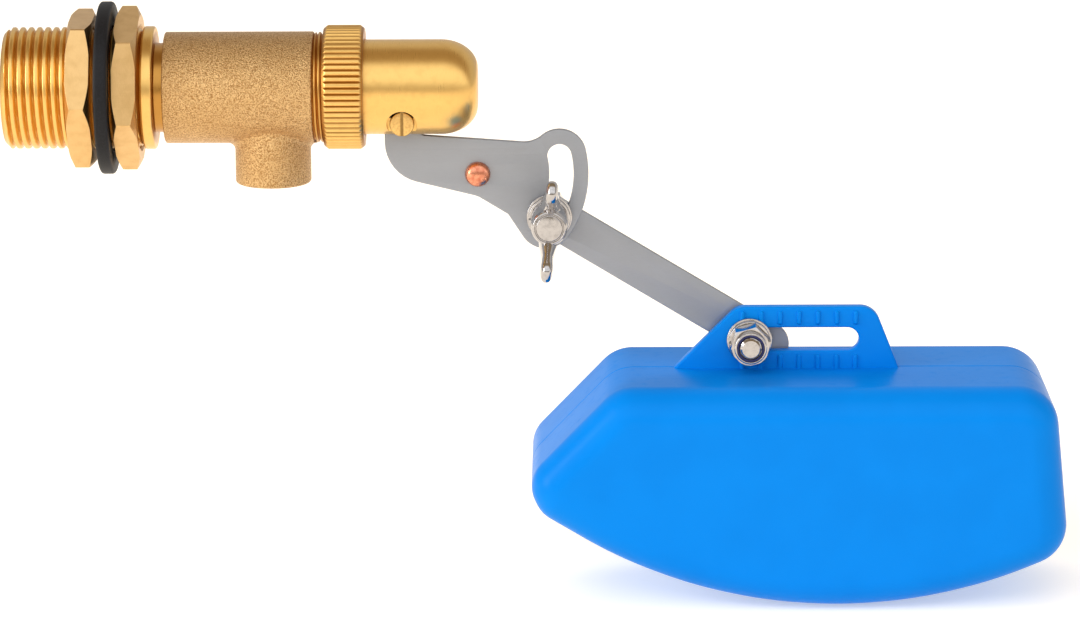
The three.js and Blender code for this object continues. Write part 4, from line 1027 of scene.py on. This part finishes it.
def float_half(side):
    """Rows of the outline from the seam over the rounded edge to the face's middle, and back inside."""
    turn = np.linspace(0, math.pi / 2, 17)
    flank = FLOAT_HALF - FLOAT_EDGE
    skin = [(SEAM_DEPTH, 0.02), (SEAM_DEPTH * 0.3, SEAM_HALF * 0.6)]
    skin += [(0, SEAM_HALF), (0, SEAM_HALF + 0.2), (0, flank - 0.2)]
    skin += list(zip(FLOAT_EDGE * (1 - np.cos(turn)), flank + FLOAT_EDGE * np.sin(turn)))
    inner = FLOAT_EDGE - FLOAT_WALL
    lining = list(zip(FLOAT_EDGE - inner * np.cos(turn), flank + inner * np.sin(turn)))
    lining = lining[::-1] + [(FLOAT_WALL, 0.02)]

    def rows(steps):
        """The outline drawn in by each step's first number, at the step's second number from the seam."""
        return [
            np.stack([ring[:, 0], np.full(len(ring), FLOAT_MIDDLE + side * y), ring[:, 1]], 1)
            for ring, y in ((drawn_in(float_outline, inset), y) for inset, y in steps)
        ]

    out, back = rows(skin), rows(lining)

    def pole(ring, share):
        """A ring shrunk about its middle, to close a face."""
        middle = ring[:-1].mean(0)
        return middle + (ring - middle) * share

    rows_out = out + [pole(out[-1], s) for s in (0.93, 0.5, 0)]
    rows_in = [pole(back[0], s) for s in (0, 0.5, 0.93)] + back
    return np.stack(rows_out), np.stack(rows_in), np.stack([back[-1], out[0]])


# %% [markdown]
# ## The handle and its grip ribs
# An upright handle stands in the float's middle plane, with a long slot for the bolt. Its two halves
# belong to the two halves of the float. The grip ribs on its front are long rounded bumps, each a
# half ellipsoid stretched between two round ends.

# %% Handle and ribs
HANDLE_FRONT, HANDLE_BACK = -2.15, 0.75
HANDLE_SLOT_LENGTH, HANDLE_SLOT_WIDTH, HANDLE_CORNER = 21.5, 5.2, 4.5
RIB_HALF, RIB_CROWN, RIB_STEP, RIB_COUNT = 0.6, 0.55, 4.14, 7
HANDLE_LEFT, HANDLE_RIGHT = bolt_at[0] - 16.5, bolt_at[0] + HANDLE_SLOT_LENGTH + 11.4
HANDLE_TOP = bolt_at[1] + 7.3
HANDLE_FOOT = FLOAT_TOP - 1.4
rise = HANDLE_TOP - FLOAT_TOP
handle_outline = soften([
    (HANDLE_LEFT - 1.4, HANDLE_FOOT), (HANDLE_RIGHT, HANDLE_FOOT), (HANDLE_RIGHT, FLOAT_TOP),
    (HANDLE_RIGHT - 5.5, HANDLE_TOP, HANDLE_CORNER), (HANDLE_LEFT + rise, HANDLE_TOP, HANDLE_CORNER),
    (HANDLE_LEFT, FLOAT_TOP),
], 12, closed=True)
handle_slot = stadium(bolt_at, bolt_at + [HANDLE_SLOT_LENGTH, 0], HANDLE_SLOT_WIDTH)


def rib_sheet(x, low, high, rows=13, columns=20):
    """A bar of half width RIB_HALF with round ends, its crown RIB_CROWN in front of the handle."""
    swing = np.linspace(0, math.pi, rows)[:, None]
    angle = np.linspace(0, 2 * np.pi, columns + 1)
    stretch = (high - low) / 2 - RIB_HALF
    z = RIB_HALF * np.sin(swing) * np.sin(angle)
    z = z + np.where(np.abs(np.sin(angle)) < 1e-6, 0, np.sign(np.sin(angle)) * stretch)
    return np.stack([
        x + RIB_HALF * np.sin(swing) * np.cos(angle),
        HANDLE_FRONT - RIB_CROWN * np.cos(swing) + 0 * angle,
        (low + high) / 2 + z,
    ], -1)


rib_x = bolt_at[0] - 1.5 + RIB_STEP * np.arange(RIB_COUNT)
rib_rows = [(-52.95, -49.75), (FLOAT_TOP - 0.6, -59.55)]
ribs = [rib_sheet(x, *row) for x in rib_x for row in rib_rows]
for side, name, ends, edges in (
    (-1, "front", (HANDLE_FRONT, FLOAT_MIDDLE), (0.45, 0.0)),
    (1, "rear", (FLOAT_MIDDLE, HANDLE_BACK), (0.0, 0.45)),
):
    sheets, flats = blanked(handle_outline, [handle_slot], *ends, *edges)
    make_piece(f"float_{name}_half", [*float_half(side), *sheets, *(ribs if side < 0 else [])],
               blue_plastic, "float", [f"float_{name}_shell"], crease=50, flats=flats)

# %% [markdown]
# ## The pieces inside
# The nozzle, the plunger with its disc and ring, and the seal under the dome hardly show, but the
# model can be opened up, so they are turned as finely as the rest.

# %% Inner pieces
low, high = span("seat_nozzle")
make_piece("seat_nozzle_brass", [turned(soften([
    (20.2, 3.0), (20.2, 5.45, 0.2), (26.05, 5.45), (26.05, 7.0, 0.2), (27.85, 7.0, 0.2), (27.85, 4.6),
    (high[0], 4.5, 0.2), (high[0], 3.0, 0.3),
], 5, closed=True), 96)], dome_brass, "valve", ["seat_nozzle"])

low, high = span("plunger")
make_piece("plunger_brass", [turned(soften([
    (35.4, 0), (35.4, 5.25), (low[0], 5.25), (low[0], 6.0, 0.2), (49.25, 6.0, 0.4), (51.25, 7.9, 0.2),
    (53.3, 7.9, 0.1), (53.3, 6.1), (55.4, 6.1), (55.4, 7.9, 0.1), (high[0], 7.9, 0.4), (high[0], 0),
], 4), 96)], dome_brass, "plunger_group", ["plunger"])

low, high = span("plunger_disc")
make_piece("plunger_disc_rubber", [turned(soften([
    (low[0], 0), (low[0], high[2], 0.25), (high[0], high[2], 0.1), (high[0], 0),
], 5), 96)], rubber, "plunger_group", ["plunger_disc"])

low, high = span("plunger_o_ring")
middle, section = (low[0] + high[0]) / 2, (high[0] - low[0]) / 2
round_section = circle(middle, high[2] - section, section, 24)
make_piece("plunger_ring_rubber", [turned(round_section, 96)], rubber, "plunger_group",
           ["plunger_o_ring"])

low, high = span("cap_gasket")
make_piece("cap_seal", [turned_ring(low[0], high[0], 9.05, high[2], 0.12, 128)], fibre, "valve",
           ["cap_gasket"])

# %% [markdown]
# ## The floor
# The valve is shown on a pale floor of plain paper. The paper gives off a little light of its own, so
# it stays evenly white far from the lamps, and its warm tint keeps the float's shadow from going blue.

# %% Floor
FLOOR_HALF, FLOOR_GAP = 3.0, 0.0004
floor_z = cad_box[0][2] - FLOOR_GAP
floor_mesh = bpy.data.meshes.new("floor")
floor_corners = [(FLOOR_HALF * x, FLOOR_HALF * y, floor_z) for x, y in ((-1, -1), (1, -1), (1, 1), (-1, 1))]
floor_mesh.from_pydata(floor_corners, [], [(0, 1, 2, 3)])
floor = bpy.data.objects.new("floor", floor_mesh)
bpy.context.scene.collection.objects.link(floor)
paper = Finish("white_paper", Roughness=0.9, Specular_IOR_Level=0.1, Base_Color=(0.88, 0.80, 0.68, 1),
               Emission_Color=(1, 1, 1, 1), Emission_Strength=0.42)
floor_mesh.materials.append(paper.material)
print("floor at", round(floor_z / MM, 2), "mm")

# %% [markdown]
# ## Light
# Metal shows what is around it, so the surroundings matter more than any lamp: a broad wall of light
# in front, a dim warm ceiling, and a softer light behind. A world whose colour depends only on how
# high the direction points gives all three without edges. Three area lamps add shape and a soft
# shadow, and two of them are hidden from mirror reflections, so the brass shows only the bands.

# %% Light
world = bpy.data.worlds.new("studio")
bpy.context.scene.world = world
world.use_nodes = True
sky = world.node_tree
sky.nodes.clear()


def sky_node(kind, settings=(), **links):
    """A node of the studio's surroundings, with its settings and links. first is the first socket."""
    made = sky.nodes.new(kind)
    for key, value in dict(settings).items():
        setattr(made, key, value)
    for key, socket in links.items():
        sky.links.new(socket, made.inputs[key if key != "first" else 0])
    return made


direction = sky_node("ShaderNodeTexCoord").outputs["Generated"]
split = sky_node("ShaderNodeSeparateXYZ", Vector=direction)
front = sky_node("ShaderNodeMath", {"operation": "MULTIPLY"}, first=split.outputs["Y"])
front.inputs[1].default_value = -1
rise_angle = sky_node("ShaderNodeMath", {"operation": "ARCTAN2"}, first=split.outputs["Z"])
sky.links.new(front.outputs[0], rise_angle.inputs[1])
half_turns = sky_node("ShaderNodeMath", {"operation": "MULTIPLY"}, first=rise_angle.outputs[0])
half_turns.inputs[1].default_value = 1 / math.pi
bands = sky_node("ShaderNodeValToRGB", Fac=half_turns.outputs[0])
# Each band: place from the front horizon, 0, over the zenith, 0.5, to the back horizon, 1; then its light
SKY_BANDS = [
    (0.0, (0.30, 0.25, 0.18)), (0.04, (0.45, 0.40, 0.34)), (0.09, (1.1, 1.08, 1.04)),
    (0.13, (1.4, 1.4, 1.4)), (0.34, (1.4, 1.4, 1.4)), (0.41, (0.40, 0.29, 0.17)), (0.62, (0.38, 0.28, 0.18)),
    (0.68, (0.72, 0.68, 0.62)), (1.0, (0.60, 0.60, 0.62)),
]
while len(bands.color_ramp.elements) < len(SKY_BANDS):
    bands.color_ramp.elements.new(0.5)
for element, (place, light) in zip(bands.color_ramp.elements, SKY_BANDS):
    element.position = place
    element.color = (*light, 1)
background = sky_node("ShaderNodeBackground", Color=bands.outputs["Color"])
sky_node("ShaderNodeOutputWorld", Surface=background.outputs["Background"])


VALVE_MIDDLE = Vector((0.1, 0.0, -0.04))


def soft_lamp(name, place, size, power, mirrored):
    """A broad area lamp at a place in metres, aimed at the valve. mirrored says if metal shows it."""
    lamp = bpy.data.objects.new(name, bpy.data.lights.new(name, "AREA"))
    lamp.data.shape = "RECTANGLE"
    lamp.data.size, lamp.data.size_y = size
    lamp.data.energy = power
    lamp.visible_glossy = mirrored
    lamp.location = place
    aim = VALVE_MIDDLE - lamp.location
    lamp.rotation_euler = aim.to_track_quat("-Z", "Y").to_euler()
    bpy.context.scene.collection.objects.link(lamp)
    print(name, "lamp", power, "W")


soft_lamp("back", (-0.1, 0.9, 1.0), (1.2, 0.5), 5, False)
soft_lamp("front", (-0.2, -1.1, 0.7), (0.8, 0.5), 3.5, False)
soft_lamp("left", (-1.1, -0.45, 0.35), (0.5, 0.7), 7, True)
bpy.context.scene.view_settings.view_transform = "Standard"
print("bands of light:", len(SKY_BANDS))

# %% [markdown]
# ## The imported model's box
# The fine pieces are meant to stay inside the imported model's box, which is printed last.

# %% Finish
bpy.context.view_layer.update()
print("packed box", np.round(np.array(cad_box) / MM, 2).tolist())
